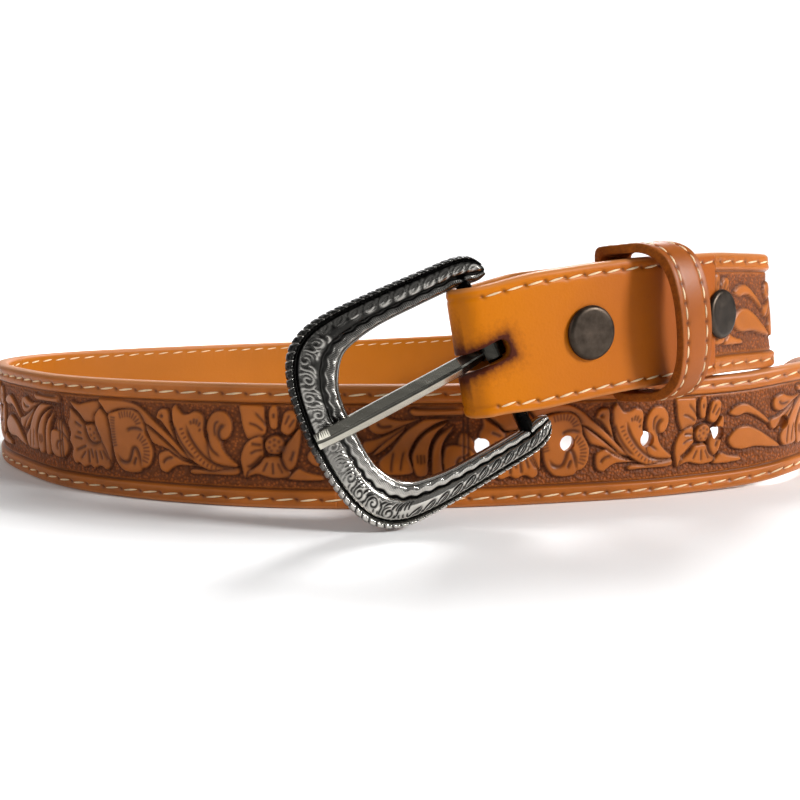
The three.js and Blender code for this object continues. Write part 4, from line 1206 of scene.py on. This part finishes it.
class BeltStage(bpy.types.PropertyGroup):
    """Camera and light."""

    lens: amount("Lens", "Focal length on a 36 mm sensor", 34.2, min=10, max=200)
    camera_height: amount("Camera height", "Height over the floor", 0.06503, unit="LENGTH")
    camera_back: amount("Camera distance", "Distance in front of the origin", 0.31604, unit="LENGTH")
    camera_pitch: amount("Camera pitch", "Turn of the camera below level", math.radians(8.014),
                         subtype="ANGLE")
    key_power: power("Key light", "Power of the main light", 15.5)
    fill_power: power("Fill light", "Power of the light from the left", 3.6)
    top_power: power("Top light", "Power of the light overhead", 1.5)
    back_power: power("Back light", "Power of the light from behind", 12.0)
    wall_power: power("Backdrop light", "Power of the light on the backdrop", 52.0)
    air: amount("Room light", "Brightness of the surroundings", 0.14, min=0, max=2)


class BELT_OT_strap(bpy.types.Operator):
    """Makes the tooled strap in three lengths, and punches its holes"""

    bl_idname = "belt.strap"
    bl_label = "Tooled strap"

    def execute(self, context):
        look, sizes = context.scene.belt_look, context.scene.belt_sizes
        leather = tooled_leather(look)
        zero = WAY.total - CHART_ZERO_FROM_TIP
        step, far = sizes.band_step, sizes.far_step
        cut_a, cut_b = zero + FRONT_FROM, zero + FRONT_SPLIT
        near_tip = WAY.total - np.array([1.6, 1.2, 0.85, 0.55, 0.3, 0.12, 0])
        back = np.arange(FRAME_LINE_AT, cut_a, far)
        left = np.arange(cut_a, cut_b, step)
        right = np.arange(cut_b, WAY.total - 1.9, step * 1.07)
        lengths = [
            ("strap_round_the_back", np.append(back[:-1], cut_a), 0.55, COARSE_EDGES),
            ("strap_front_left", np.append(left[:-1], cut_b), step, FINE_EDGES),
            ("strap_front_right", np.concatenate([right, near_tip]), step, FINE_EDGES),
        ]
        for name, marks, rows, edges in lengths:
            piece = strap_piece(name, marks, rows, edges)
            if name == "strap_front_right":
                bm = bmesh.new()
                for s in HOLE_MARKS:
                    depths = np.array([1, -STRAP_THICKNESS - 1])
                    ends = WAY.laid(np.array([s, s]), np.zeros(2), depths)
                    add_rod(bm, ends[0], ends[1], HOLE_DIAMETER / 2, 40, HOLE_FLARE)
                punch(piece, bm)
            finish_piece(piece, "strap", leather, ["strap"])
        return {"FINISHED"}


class BELT_OT_billet(bpy.types.Operator):
    """Makes the smooth buckle end with its fold, flap and prong slot"""

    bl_idname = "belt.billet"
    bl_label = "Buckle end"

    def execute(self, context):
        piece = billet_piece("strap_buckle_end")
        leather = billet_leather(context.scene.belt_look)
        middle, way, up = slot_axes()
        bm = bmesh.new()
        size = Matrix.Diagonal((2 * SLOT_LENGTH * MM, SLOT_WIDTH * MM, 6 * POCKET_GAP * MM, 1))
        bmesh.ops.create_cube(bm, size=1, matrix=turned(middle, way, up, BILLET_OUT) @ size)
        corners = [e for e in bm.edges
                   if abs((e.verts[0].co - e.verts[1].co).normalized().dot(Vector(BILLET_OUT))) > 0.9]
        bmesh.ops.bevel(bm, geom=corners, offset=2.6 * MM, segments=6, profile=0.5, affect="EDGES",
                        material=-1)
        punch(piece, bm)
        finish_piece(piece, "strap", leather, ["strap"])
        return {"FINISHED"}


def bead_matrix(middle, forward, side, normal, length, width):
    size = Matrix.Diagonal((length / 2 * MM, width / 2 * MM, width * 0.42 * MM, 1))
    return turned(middle, forward, side, normal) @ size


def stitch_matrix(s, w, n, slant, length, width, facing=1):
    """Place of one stitch, lying along the strap on its outer or inner side."""
    at, along, out, up = WAY.station(s)
    middle = at + up * w + out * n
    c, d = math.cos(slant), math.sin(slant)
    forward = along * c + up * d
    side = up * c - along * d
    return bead_matrix(middle, forward, side, out * facing, length, width)


def stitch_bead():
    """A stitch: a round bead of thread drawn out, with its ends pulled down."""
    bm = bmesh.new()
    bmesh.ops.create_uvsphere(bm, u_segments=10, v_segments=6, radius=1)
    for vertex in bm.verts:
        x, y, z = vertex.co
        vertex.co = (x, y * (1 - 0.25 * x * x), z - 0.9 * abs(x) ** 3)
    bead = bpy.data.meshes.new("bead")
    bm.to_mesh(bead)
    bm.free()
    return bead


def sewn(name, places):
    """A row of stitches, one bead at each place."""
    bead = stitch_bead()
    bm = bmesh.new()
    for place in places:
        copy = bead.copy()
        copy.transform(place)
        bm.from_mesh(copy)
        bpy.data.meshes.remove(copy)
    bpy.data.meshes.remove(bead)
    return piece_from(name, bm)


class BELT_OT_stitches(bpy.types.Operator):
    """Sews the rows of stitches along both edges, outside and inside"""

    bl_idname = "belt.stitches"
    bl_label = "Stitches"

    def execute(self, context):
        sizes = context.scene.belt_sizes
        cream = thread(context.scene.belt_look)
        slant = sizes.stitch_slant
        width, share = sizes.thread_width, sizes.thread_share
        long = STITCH_PITCH * share
        places = []
        first = int(math.ceil((FRAME_LINE_AT + 2) / STITCH_PITCH))
        last = int((WAY.total - TIP_LENGTH) / STITCH_PITCH)
        for k in range(first, last):
            s = (k + 0.5) * STITCH_PITCH
            deep = -float(thickness(s)) - 0.02
            for side in (-1, 1):
                w = side * (float(half_width(s)) - STITCH_INSET)
                places.append(stitch_matrix(s, w, -STITCH_SINK, slant, long, width))
                places.append(stitch_matrix(s, w, deep, -slant, long, width, -1))
        places += self.round_the_tip(width, share)
        finish_piece(sewn("strap_stitches", places), "strap", cream, ["strap"])
        long = BILLET_STITCH_PITCH * share
        places = []
        first = int(math.ceil((FOLD_AT + 5.2) / BILLET_STITCH_PITCH))
        last = int((FRAME_LINE_AT + 2) / BILLET_STITCH_PITCH)
        for k in range(first, last):
            s = (k + 0.5) * BILLET_STITCH_PITCH
            for side in (-1, 1):
                w = side * (float(half_width(s)) - STITCH_INSET)
                places.append(stitch_matrix(s, w, -0.05, slant, long, width))
        finish_piece(sewn("buckle_end_stitches", places), "strap", cream, ["strap"])
        return {"FINISHED"}

    @staticmethod
    def round_the_tip(width, share):
        """The row follows the rounded tip, from one long edge to the other."""
        marks = WAY.total - np.linspace(TIP_LENGTH + 2, 3, 120)
        way = np.stack([marks, half_width(marks)], axis=1)
        tangent = np.gradient(way, axis=0)
        tangent /= np.linalg.norm(tangent, axis=1, keepdims=True)
        inner = way + STITCH_INSET * np.stack([tangent[:, 1], -tangent[:, 0]], axis=1)
        inner = inner[inner[:, 1] > 0.5]
        line = np.concatenate([inner, inner[::-1] * (1, -1)])
        run = np.concatenate([[0], np.cumsum(np.linalg.norm(np.diff(line, axis=0), axis=1))])
        count = int(round(run[-1] / STITCH_PITCH))
        places = []
        for k in range(count):
            middle = (k + 0.5) / count * run[-1]
            here, before, after = (
                [float(np.interp(mark, run, line[:, i])) for i in range(2)]
                for mark in (middle, middle - 1, middle + 1))
            turn = math.atan2(after[1] - before[1], after[0] - before[0])
            places.append(stitch_matrix(*here, -STITCH_SINK, turn, run[-1] / count * share, width))
        return places


def keeper_point(turn, side, depth):
    """Place on the keeper in the strap's own space, from the turn round it, the side from -1 to 1 and
    the depth in its wall."""
    c, d = np.cos(turn), np.sin(turn)
    stack = float(thickness(KEEPER_AT)) + LAYER_GAP + FOLD_THICKNESS + KEEPER_CLEARANCE
    half_in = STRAP_WIDTH / 2 + KEEPER_CLEARANCE + KEEPER_SIDE_ROOM
    front = c > 0
    power = np.where(front, FRONT_SQUARENESS, BACK_SQUARENESS)
    reach = (np.abs(c) ** power + np.abs(d) ** power) ** (-1 / power)
    deep = np.where(front, KEEPER_FRONT_ROOM, stack)
    w = (half_in + KEEPER_WALL * depth) * d * reach
    n = (deep + KEEPER_WALL * depth) * c * reach
    share = smooth((n + stack) / (KEEPER_FRONT_ROOM + stack))
    lean = -w * math.tan(math.radians(KEEPER_LEAN))
    s = KEEPER_AT + side * KEEPER_WIDTH / 2 + KEEPER_RACK * share + lean
    return s, w, n


class BELT_OT_keeper(bpy.types.Operator):
    """Makes the leather keeper with its suede rims and two rows of stitches"""

    bl_idname = "belt.keeper"
    bl_label = "Keeper"

    STITCHES = 26
    INSET = 0.62
    STEPS = 180

    def execute(self, context):
        look, sizes = context.scene.belt_look, context.scene.belt_sizes
        section = self.section()

        def place(i, j):
            turn = (i % self.STEPS) / self.STEPS * 2 * math.pi
            side, depth, rim = section[j].T
            mark = turn * self.STITCHES / (2 * math.pi)
            off_row = np.abs(side) - self.INSET
            outside = depth > 0.9
            dent = np.exp(-(((mark + 0.5) % 1 - 0.5) / 0.10) ** 2 - (off_row / 0.11) ** 2) * outside
            channel = np.exp(-(off_row / 0.10) ** 2) * outside
            s, w, n = keeper_point(turn, side, depth - 0.06 * channel - 0.08 * dent)
            # The dents also darken the leather: painted shade in the keeper's stitch holes
            return WAY.laid(s, w, n), {"cut": dent, "raw_edge": rim}

        piece = bent_grid("keeper_leather_ring", self.STEPS + 1, len(section), place,
                          closed_columns=True)
        finish_piece(piece, "strap", keeper_leather(look), ["keeper"])
        places = [self.stitch((k + 0.5) / self.STITCHES * 2 * math.pi, side, sizes.thread_width * 0.95)
                  for k in range(self.STITCHES) for side in (-self.INSET, self.INSET)]
        row = sewn("keeper_stitches", places)
        finish_piece(row, "strap", thread(look), ["keeper"])
        return {"FINISHED"}

    @staticmethod
    def section():
        """Closed section of the ring: side, depth in the wall and roughness of the rim."""
        rows = [(-0.93, 0, 1), (-0.98, 0.08, 1), (-1, 0.25, 1), (-1, 0.5, 1), (-1, 0.75, 1),
                (-0.98, 0.92, 0.9), (-0.93, 1, 0.3)]
        rows += [(x, 1.0, 0) for x in np.linspace(-0.86, 0.86, 33)]
        rows += [(0.93, 1, 0.3), (0.98, 0.92, 0.9), (1, 0.75, 1), (1, 0.5, 1), (1, 0.25, 1),
                 (0.98, 0.08, 1), (0.93, 0, 1)]
        rows += [(x, 0.0, 1) for x in np.linspace(0.6, -0.6, 4)]
        rows.append(rows[0])
        return np.array(rows)

    def stitch(self, turn, side, width):
        """One stitch along the ring, from the places on either side of its middle."""
        step = 0.001
        turns = np.array([turn - step, turn, turn + step, turn, turn])
        sides = np.array([side, side, side, side - step, side + step])
        s, w, n = keeper_point(turns, sides, np.full(5, 1.0))
        points = WAY.laid(s, w, n)
        forward = points[2] - points[0]
        length = np.linalg.norm(forward) / (2 * step) * 2 * math.pi / self.STITCHES * 0.74
        forward /= np.linalg.norm(forward)
        across = points[4] - points[3]
        normal = np.cross(forward, across)
        normal /= np.linalg.norm(normal)
        outward = points[1] - WAY.laid(np.array([KEEPER_AT]), np.zeros(1), np.zeros(1))[0]
        if normal @ outward < 0:
            normal = -normal
        across = np.cross(normal, forward)
        return bead_matrix(points[1] - normal * 0.12, forward, across, normal, length, width)


def frame_outline():
    half = [(ox * FRAME_REACH - ARM_PAST_BAR, oy * FRAME_HALF, ix * FRAME_REACH - ARM_PAST_BAR,
             iy * FRAME_HALF, c * FRAME_CROWN) for ox, oy, ix, iy, c in FRAME_ROWS]
    mirrored = [(ox, -oy, ix, -iy, c) for ox, oy, ix, iy, c in half[-2::-1]]
    return spline_through(half + mirrored, 2)


def spiral(centre, start, turns, outer, inner, hand):
    """Points of a scroll that winds in to its eye."""
    t = np.linspace(0, 1, 16)
    angle = start + hand * t * turns * 2 * math.pi
    radius = outer + (inner - outer) * t
    return np.stack([centre[0] + radius * np.cos(angle), centre[1] + radius * np.sin(angle)], axis=1)


def engraving_field(length):
    """Scrolls and plumes of the bow and leaves of the arms, in mm along the frame and across it."""
    field = Field((0, 0), (length, 14), 0.1, 0.0)
    bow_from, bow_to = 0.30 * length, 0.70 * length
    middle, pitch = 5.2, 5.6
    eyes = []
    for k in range(int((bow_to - bow_from) / pitch)):
        x = bow_from + (k + 0.5) * pitch
        hand = 1 if k % 2 else -1
        eyes.append((x, middle - 0.4 * hand))
        field.cut(spiral(eyes[-1], 0.5 * math.pi * hand, 1.5, 2.1, 0.35, hand), 0.55, 0.34)
        field.cut([(x + 1.2, middle - 2.4 * hand), (x + 2.8, middle - 0.9 * hand),
                   (x + 3.0, middle + 1.2 * hand), (x + 4.4, middle + 2.4 * hand)], 0.55, 0.34)
    eyes = np.array(eyes)
    for x in np.arange(bow_from - 1, bow_to + 1, 1.35):
        for hand in (-1, 1):
            spot = np.array([x + 0.6, middle + 2.0 * hand])
            if np.hypot(*(eyes - spot).T).min() < 2.5:
                continue
            field.cut([(x, middle + 0.5 * hand), (x + 0.2, middle + 1.5 * hand),
                       (x + 0.9, middle + 2.3 * hand), (x + 1.9, middle + 2.6 * hand)], 0.42, 0.3)
    for low, high in ((1.5, bow_from - 0.5), (bow_to + 0.5, length - 1.5)):
        count = int((high - low) / 4.6)
        for x in low + (np.arange(count) + 0.5) / count * (high - low):
            field.cut([(x - 2.2, 2.5), (x - 1.4, 3.9), (x + 0.2, 4.8), (x + 2.2, 5.0)], 0.50, 0.32)
            field.cut([(x - 2.2, 2.5), (x - 0.4, 2.7), (x + 1.2, 3.6), (x + 2.2, 5.0)], 0.50, 0.32)
            field.cut([(x - 1.2, 3.0), (x + 0.2, 3.7), (x + 1.4, 4.5)], 0.34, 0.24)
            field.cut([(x + 0.9, 2.3), (x + 2.0, 2.9), (x + 2.5, 3.9)], 0.46, 0.3)
    for m in range(-6, 7):
        x = length / 2 + m * 0.8
        field.cut([(x, 6.6), (x, 7.6), (x, 8.4)], 0.26, 0.16)
    return field


def frame_place(length, value_at, marks, across):
    """Gives place(column, row) for the frame's dense face, closed round its back."""
    engraved = engraving_field(length)
    face = np.array(FACE_ROWS)
    pitch = length / round(length / ROPE_PITCH)
    rows = value_at(marks)
    back = np.array([(1.0, -0.25), (0.99, -0.6), (0.975, -0.85), (0.95, -0.97), (0.90, -1.0),
                     (0.5, -1.0), (0.12, -1.0), (0.06, -0.97), (0.03, -0.85), (0.01, -0.6), (0, -0.25)])
    count = len(across)

    def place(i, j):
        ox, oy, ix, iy, crown = (rows[i, k] for k in range(5))
        width = np.hypot(ix - ox, iy - oy)
        t = marks[i]
        j = j % (count + len(back))
        top = j < count
        back_row = back[np.clip(j - count, 0, len(back) - 1)]
        v = np.where(top, across[np.minimum(j, count - 1)], back_row[..., 0])
        sway = 0.022 * np.sin(t * 2 * math.pi / 5.2)
        swayed = v + sway * smooth((v - 0.6) / 0.08) * smooth((0.94 - v) / 0.08)
        ribbon = np.where((v > 0.6) & (v < 0.94), swayed, v)
        up = np.interp(ribbon, face[:, 0], face[:, 1])
        black = np.interp(ribbon, face[:, 0], face[:, 2])
        slant = (t + 3.0 * v * 2) / pitch
        notch = np.abs((slant + 0.5) % 1 - 0.5) * pitch
        rope = smooth((0.155 - v) / 0.02)
        gap = np.exp(-(notch / 0.30) ** 2) * rope
        sphere = rope * 0.10 * np.clip(1 - (notch / (pitch / 2)) ** 2, 0, 1)
        e_height, e_dark, _ = engraved.read(np.clip(t, 0, length - 0.2), v * width)
        on_face = smooth((v - 0.235) / 0.02) * smooth((0.61 - v) / 0.02)
        hatch = 0.5 + 0.5 * np.sin(t * 2 * math.pi / 0.62)
        on_ribbon = smooth((v - 0.75) / 0.02) * smooth((0.91 - v) / 0.02)
        # From the upper arm to the lower bow: painted dark reflection on the upper part, blackened
        # silver on the lower part
        painted_dark_to_silver = 0.96 * smooth((t / length - 0.48) / 0.13)
        relief = e_height * on_face * mix(0.3, 0.9, painted_dark_to_silver)
        z = crown * (up + sphere) + relief - 0.10 * hatch * on_ribbon - 0.62 * gap
        blackened = np.maximum.reduce(
            [black, 0.95 * gap, e_dark * on_face * 0.95, 0.45 * hatch * on_ribbon])
        # Painted highlights along the ribbon's edges, the hatch, the rope's notches, the inner rim and
        # the engraving, for the painted dark upper part
        lines = (0.55 * e_dark * on_face + 0.6 * np.exp(-((ribbon - 0.755) / 0.014) ** 2)
                 + 0.6 * np.exp(-((ribbon - 0.905) / 0.014) ** 2) + 0.2 * hatch * on_ribbon
                 + 0.5 * np.exp(-(notch / 0.17) ** 2) * rope + 0.5 * np.exp(-((v - 0.965) / 0.012) ** 2))
        # Painted dark with painted highlight lines on the upper part, blackened silver on the lower part
        bright = mix(np.clip(0.035 + lines, 0, 1), np.clip(1 - 1.15 * blackened, 0, 1), painted_dark_to_silver)
        z = np.where(top, z, back_row[..., 1] * -FRAME_BACK)
        share = v + np.where(v < 0.06, 0.30 * gap / width, 0)
        points = from_buckle(mix(ox, ix, share), mix(oy, iy, share), z)
        return points, {"bright": np.where(top, bright, 0.35)}

    return place, count + len(back) + 1


class BELT_OT_buckle(bpy.types.Operator):
    """Makes the rope-edged, engraved buckle frame with its bar"""

    bl_idname = "belt.buckle"
    bl_label = "Buckle frame"

    def execute(self, context):
        length, value_at = frame_outline()
        marks = np.linspace(0, length, 980)
        across = np.linspace(0, 1, 66)
        place, rows = frame_place(length, value_at, marks, across)
        piece = bent_grid("buckle_frame_engraved", len(marks), rows, place)
        silver = antique_silver(context.scene.belt_look)
        finish_piece(piece, "frame", silver, ["buckle_frame"])
        bm = bmesh.new()
        end = FRAME_HALF * 0.78
        add_rod(bm, from_buckle(0, -end, 0), from_buckle(0, end, 0), BAR_DIAMETER / 2, 48)
        bar = piece_from("buckle_bar", bm)
        finish_piece(bar, "frame", silver, ["buckle_frame"])
        return {"FINISHED"}


def spun(line, closed, steps, place):
    """A ring turned from (radius, height) points, put in its place."""
    bm = bmesh.new()
    corners = [bm.verts.new((r * MM, 0, z * MM)) for r, z in line]
    after = corners[1:] + corners[:1] if closed else corners[1:]
    edges = [bm.edges.new(pair) for pair in zip(corners, after)]
    bmesh.ops.spin(bm, geom=corners + edges, cent=(0, 0, 0), axis=(0, 0, 1), angle=2 * math.pi,
                   steps=steps, use_merge=True, use_duplicate=False)
    bmesh.ops.remove_doubles(bm, verts=bm.verts, dist=1e-6)
    bmesh.ops.transform(bm, matrix=place, verts=bm.verts)
    return bm


class BELT_OT_prong(bpy.types.Operator):
    """Makes the bevelled steel prong with its eye round the bar"""

    bl_idname = "belt.prong"
    bl_label = "Prong"

    # Section across the prong: share of its half width, share of its half height, and brightness of the
    # facet's painted reflection
    SECTION = [(1, -1, 0.3), (1, -0.35, 0.5), (0.94, -0.1, 0.75), (0.16, 0.92, 0.75), (0.1, 1, 0.1),
               (-0.16, 1, 0.03), (-0.24, 0.94, 0.05), (-0.3, 0.88, 1.0), (-0.9, 0.1, 1.0),
               (-1, -0.1, 1.0), (-1, -1, 0.5)]

    def execute(self, context):
        table = np.array(PRONG_ROWS)
        section = np.array(self.SECTION + self.SECTION[:1])
        along = np.concatenate([np.linspace(0.045, 0.97, 90), [0.985, 0.996, 1.0]])

        def place(i, j):
            x = along[i]
            end = np.sqrt(np.clip((1.0 - x) / 0.03, 0.12, 1))
            up = np.interp(x, table[:, 0], table[:, 1])
            wide = np.interp(x, table[:, 0], table[:, 2]) * PRONG_FACE_WIDTH / 2
            high = np.interp(x, table[:, 0], table[:, 3]) * PRONG_HEIGHT / 2 * end
            y, z = section[j, 0] * wide, section[j, 1] * high
            # Painted shade toward the bar, where the prong dips into the slot, over each facet's painted
            # reflection
            painted_shade_near_bar = smooth((0.22 - x) / 0.08)
            bright = section[j, 2] * (1 - 0.95 * painted_shade_near_bar)
            return from_buckle(x * PRONG_REACH, BAR_DROP + y, up + z), {"bright": bright}

        steel = drawn_steel(context.scene.belt_look)
        piece = bent_grid("prong_bevelled", len(along), len(section), place)
        for face in piece.data.polygons:
            face.use_smooth = False
        finish_piece(piece, "prong", steel, ["prong"])
        inner = BAR_DIAMETER / 2 + FIT_GAP
        outer = inner + PRONG_EYE_WALL
        half = PRONG_FACE_WIDTH * 0.46
        ring = [(inner, -half), (outer, -half), (outer, half), (inner, half)]
        bm = spun(ring, True, 40, turned(from_buckle(0, BAR_DROP, 0), REACH, -FACE, BAR))
        # The eye carries no brightness value, so the steel paints it nearly black: painted shade in the
        # fold round the bar
        eye = piece_from("prong_eye", bm, shaded_smooth=False)
        finish_piece(eye, "prong", steel, ["prong"])
        return {"FINISHED"}


class BELT_OT_snaps(bpy.types.Operator):
    """Turns the snap caps and gives caps and studs their gunmetal"""

    bl_idname = "belt.snaps"
    bl_label = "Snaps"

    def execute(self, context):
        metal = gunmetal(context.scene.belt_look)
        radius = CAP_DIAMETER / 2
        profile = [
            (0, CAP_HEIGHT * 0.96), (radius * 0.5, CAP_HEIGHT * 0.99), (radius - 1.6, CAP_HEIGHT),
            (radius - 1.1, CAP_HEIGHT * 0.98), (radius - 0.62, CAP_HEIGHT * 0.87),
            (radius - 0.28, CAP_HEIGHT * 0.66), (radius - 0.08, CAP_HEIGHT * 0.42), (radius, 0.35),
            (radius - 0.1, 0.12), (radius - 0.4, 0), (POST_DIAMETER / 2, 0),
        ]
        for name, s in (("snap_cap_1", FIRST_SNAP_AT), ("snap_cap_2", SECOND_SNAP_AT)):
            stack = float(thickness(s)) + LAYER_GAP + FOLD_THICKNESS
            foot = -(2 * FIT_GAP + stack + STUD_HEIGHT * 0.6)
            line = profile + [(POST_DIAMETER / 2, foot), (0, foot)]
            at, along, out, up = WAY.station(s)
            bm = spun(line, False, 64, turned(at + out * FIT_GAP, along, up, out))
            piece = piece_from(name + "_turned", bm)
            finish_piece(piece, "strap", metal, [name])
        for name in ("snap_stud_1", "snap_stud_2"):
            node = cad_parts[name]
            node.data.materials.clear()
            node.data.materials.append(metal)
        return {"FINISHED"}


class BELT_OT_stage(bpy.types.Operator):
    """Sets the pale floor and backdrop, the soft lights and the camera"""

    bl_idname = "belt.stage"
    bl_label = "Stage"

    def execute(self, context):
        scene = context.scene
        stage, look = scene.belt_stage, scene.belt_look
        self.floor(look)
        self.light("Key", (1.0, -0.52, 0.55), (0.02, -0.05, 0.03), 0.22, stage.key_power)
        self.light("Back", (0.3, 0.62, 0.9), (0, -0.08, 0), 0.4, stage.back_power)
        self.light("Fill", (-0.9, -0.7, 0.55), (0, -0.05, 0.03), 0.8, stage.fill_power)
        self.light("Top", (0.1, 0.15, 1.3), (0, 0, 0), 1.2, stage.top_power)
        self.light("Backdrop", (0, 0.7, 1.3), (0, 2.1, 0.6), 2.2, stage.wall_power)
        world = bpy.data.worlds.new("Room")
        world.use_nodes = True
        world.node_tree.nodes["Background"].inputs["Color"].default_value = (1, 1, 1, 1)
        world.node_tree.nodes["Background"].inputs["Strength"].default_value = stage.air
        scene.world = world
        camera = bpy.data.objects.new("Camera", bpy.data.cameras.new("Camera"))
        scene.collection.objects.link(camera)
        camera.data.sensor_width = 36
        camera.data.lens = stage.lens
        camera.data.clip_start = 0.01
        camera.location = (ROW_SHIFT[0] * MM, -stage.camera_back, stage.camera_height)
        camera.rotation_euler = (math.pi / 2 - stage.camera_pitch, 0, 0)
        scene.camera = camera
        scene.view_settings.view_transform = "Standard"
        return {"FINISHED"}

    @staticmethod
    def floor(look):
        """A sheet that runs back along the ground and turns up into the backdrop, in metres."""
        near, bend_from, bend, height, half = -3.0, 1.6, 0.7, 3.2, 4
        turns = np.linspace(0.1, math.pi / 2, 14)
        line = [(near, 0), (bend_from, 0)]
        line += [(bend_from + bend * math.sin(a), bend - bend * math.cos(a)) for a in turns]
        line += [(bend_from + bend, height)]
        bm = bmesh.new()
        corners = [bm.verts.new((-half, y, z)) for y, z in line]
        edges = [bm.edges.new(pair) for pair in zip(corners, corners[1:])]
        made = bmesh.ops.extrude_edge_only(bm, edges=edges)
        moved = [v for v in made["geom"] if isinstance(v, bmesh.types.BMVert)]
        bmesh.ops.translate(bm, vec=(2 * half, 0, 0), verts=moved)
        floor = piece_from("floor", bm)
        if floor.data.polygons[0].normal.z < 0:
            floor.data.flip_normals()
        floor.data.materials.append(floor_paint(look))

    @staticmethod
    def light(name, place, target, size, power):
        """A square soft light at a place, turned to its target; metres and watts."""
        data = bpy.data.lights.new(name, "AREA")
        data.shape = "RECTANGLE"
        data.size = size
        data.size_y = size
        data.energy = power
        lamp = bpy.data.objects.new(name, data)
        lamp.location = place
        lamp.rotation_mode = "QUATERNION"
        lamp.rotation_quaternion = (Vector(target) - Vector(place)).to_track_quat("-Z", "Y")
        bpy.context.scene.collection.objects.link(lamp)


class BELT_PT_panel(bpy.types.Panel):
    """Lists the pieces of the belt"""

    bl_idname = "BELT_PT_panel"
    bl_label = "Western Tooled Belt"
    bl_space_type = "VIEW_3D"
    bl_region_type = "UI"
    bl_category = "Belt"

    def draw(self, context):
        for group in (context.scene.belt_sizes, context.scene.belt_look, context.scene.belt_stage):
            box = self.layout.box()
            for key in group.bl_rna.properties.keys():
                if key not in ("rna_type", "name"):
                    box.prop(group, key)
        for operator in OPERATORS:
            self.layout.operator(operator.bl_idname)


OPERATORS = (BELT_OT_strap, BELT_OT_billet, BELT_OT_stitches, BELT_OT_keeper, BELT_OT_buckle,
             BELT_OT_prong, BELT_OT_snaps, BELT_OT_stage)
CLASSES = (BeltLook, BeltSizes, BeltStage) + OPERATORS + (BELT_PT_panel,)


def register():
    for entry in CLASSES:
        bpy.utils.register_class(entry)
    bpy.types.Scene.belt_look = bpy.props.PointerProperty(type=BeltLook)
    bpy.types.Scene.belt_sizes = bpy.props.PointerProperty(type=BeltSizes)
    bpy.types.Scene.belt_stage = bpy.props.PointerProperty(type=BeltStage)


def unregister():
    for key in ("belt_look", "belt_sizes", "belt_stage"):
        delattr(bpy.types.Scene, key)
    for entry in reversed(CLASSES):
        bpy.utils.unregister_class(entry)


def main():
    register()
    for make in (bpy.ops.belt.strap, bpy.ops.belt.billet, bpy.ops.belt.stitches, bpy.ops.belt.keeper,
                 bpy.ops.belt.buckle, bpy.ops.belt.prong, bpy.ops.belt.snaps, bpy.ops.belt.stage):
        make()


if __name__ == "__main__":
    main()
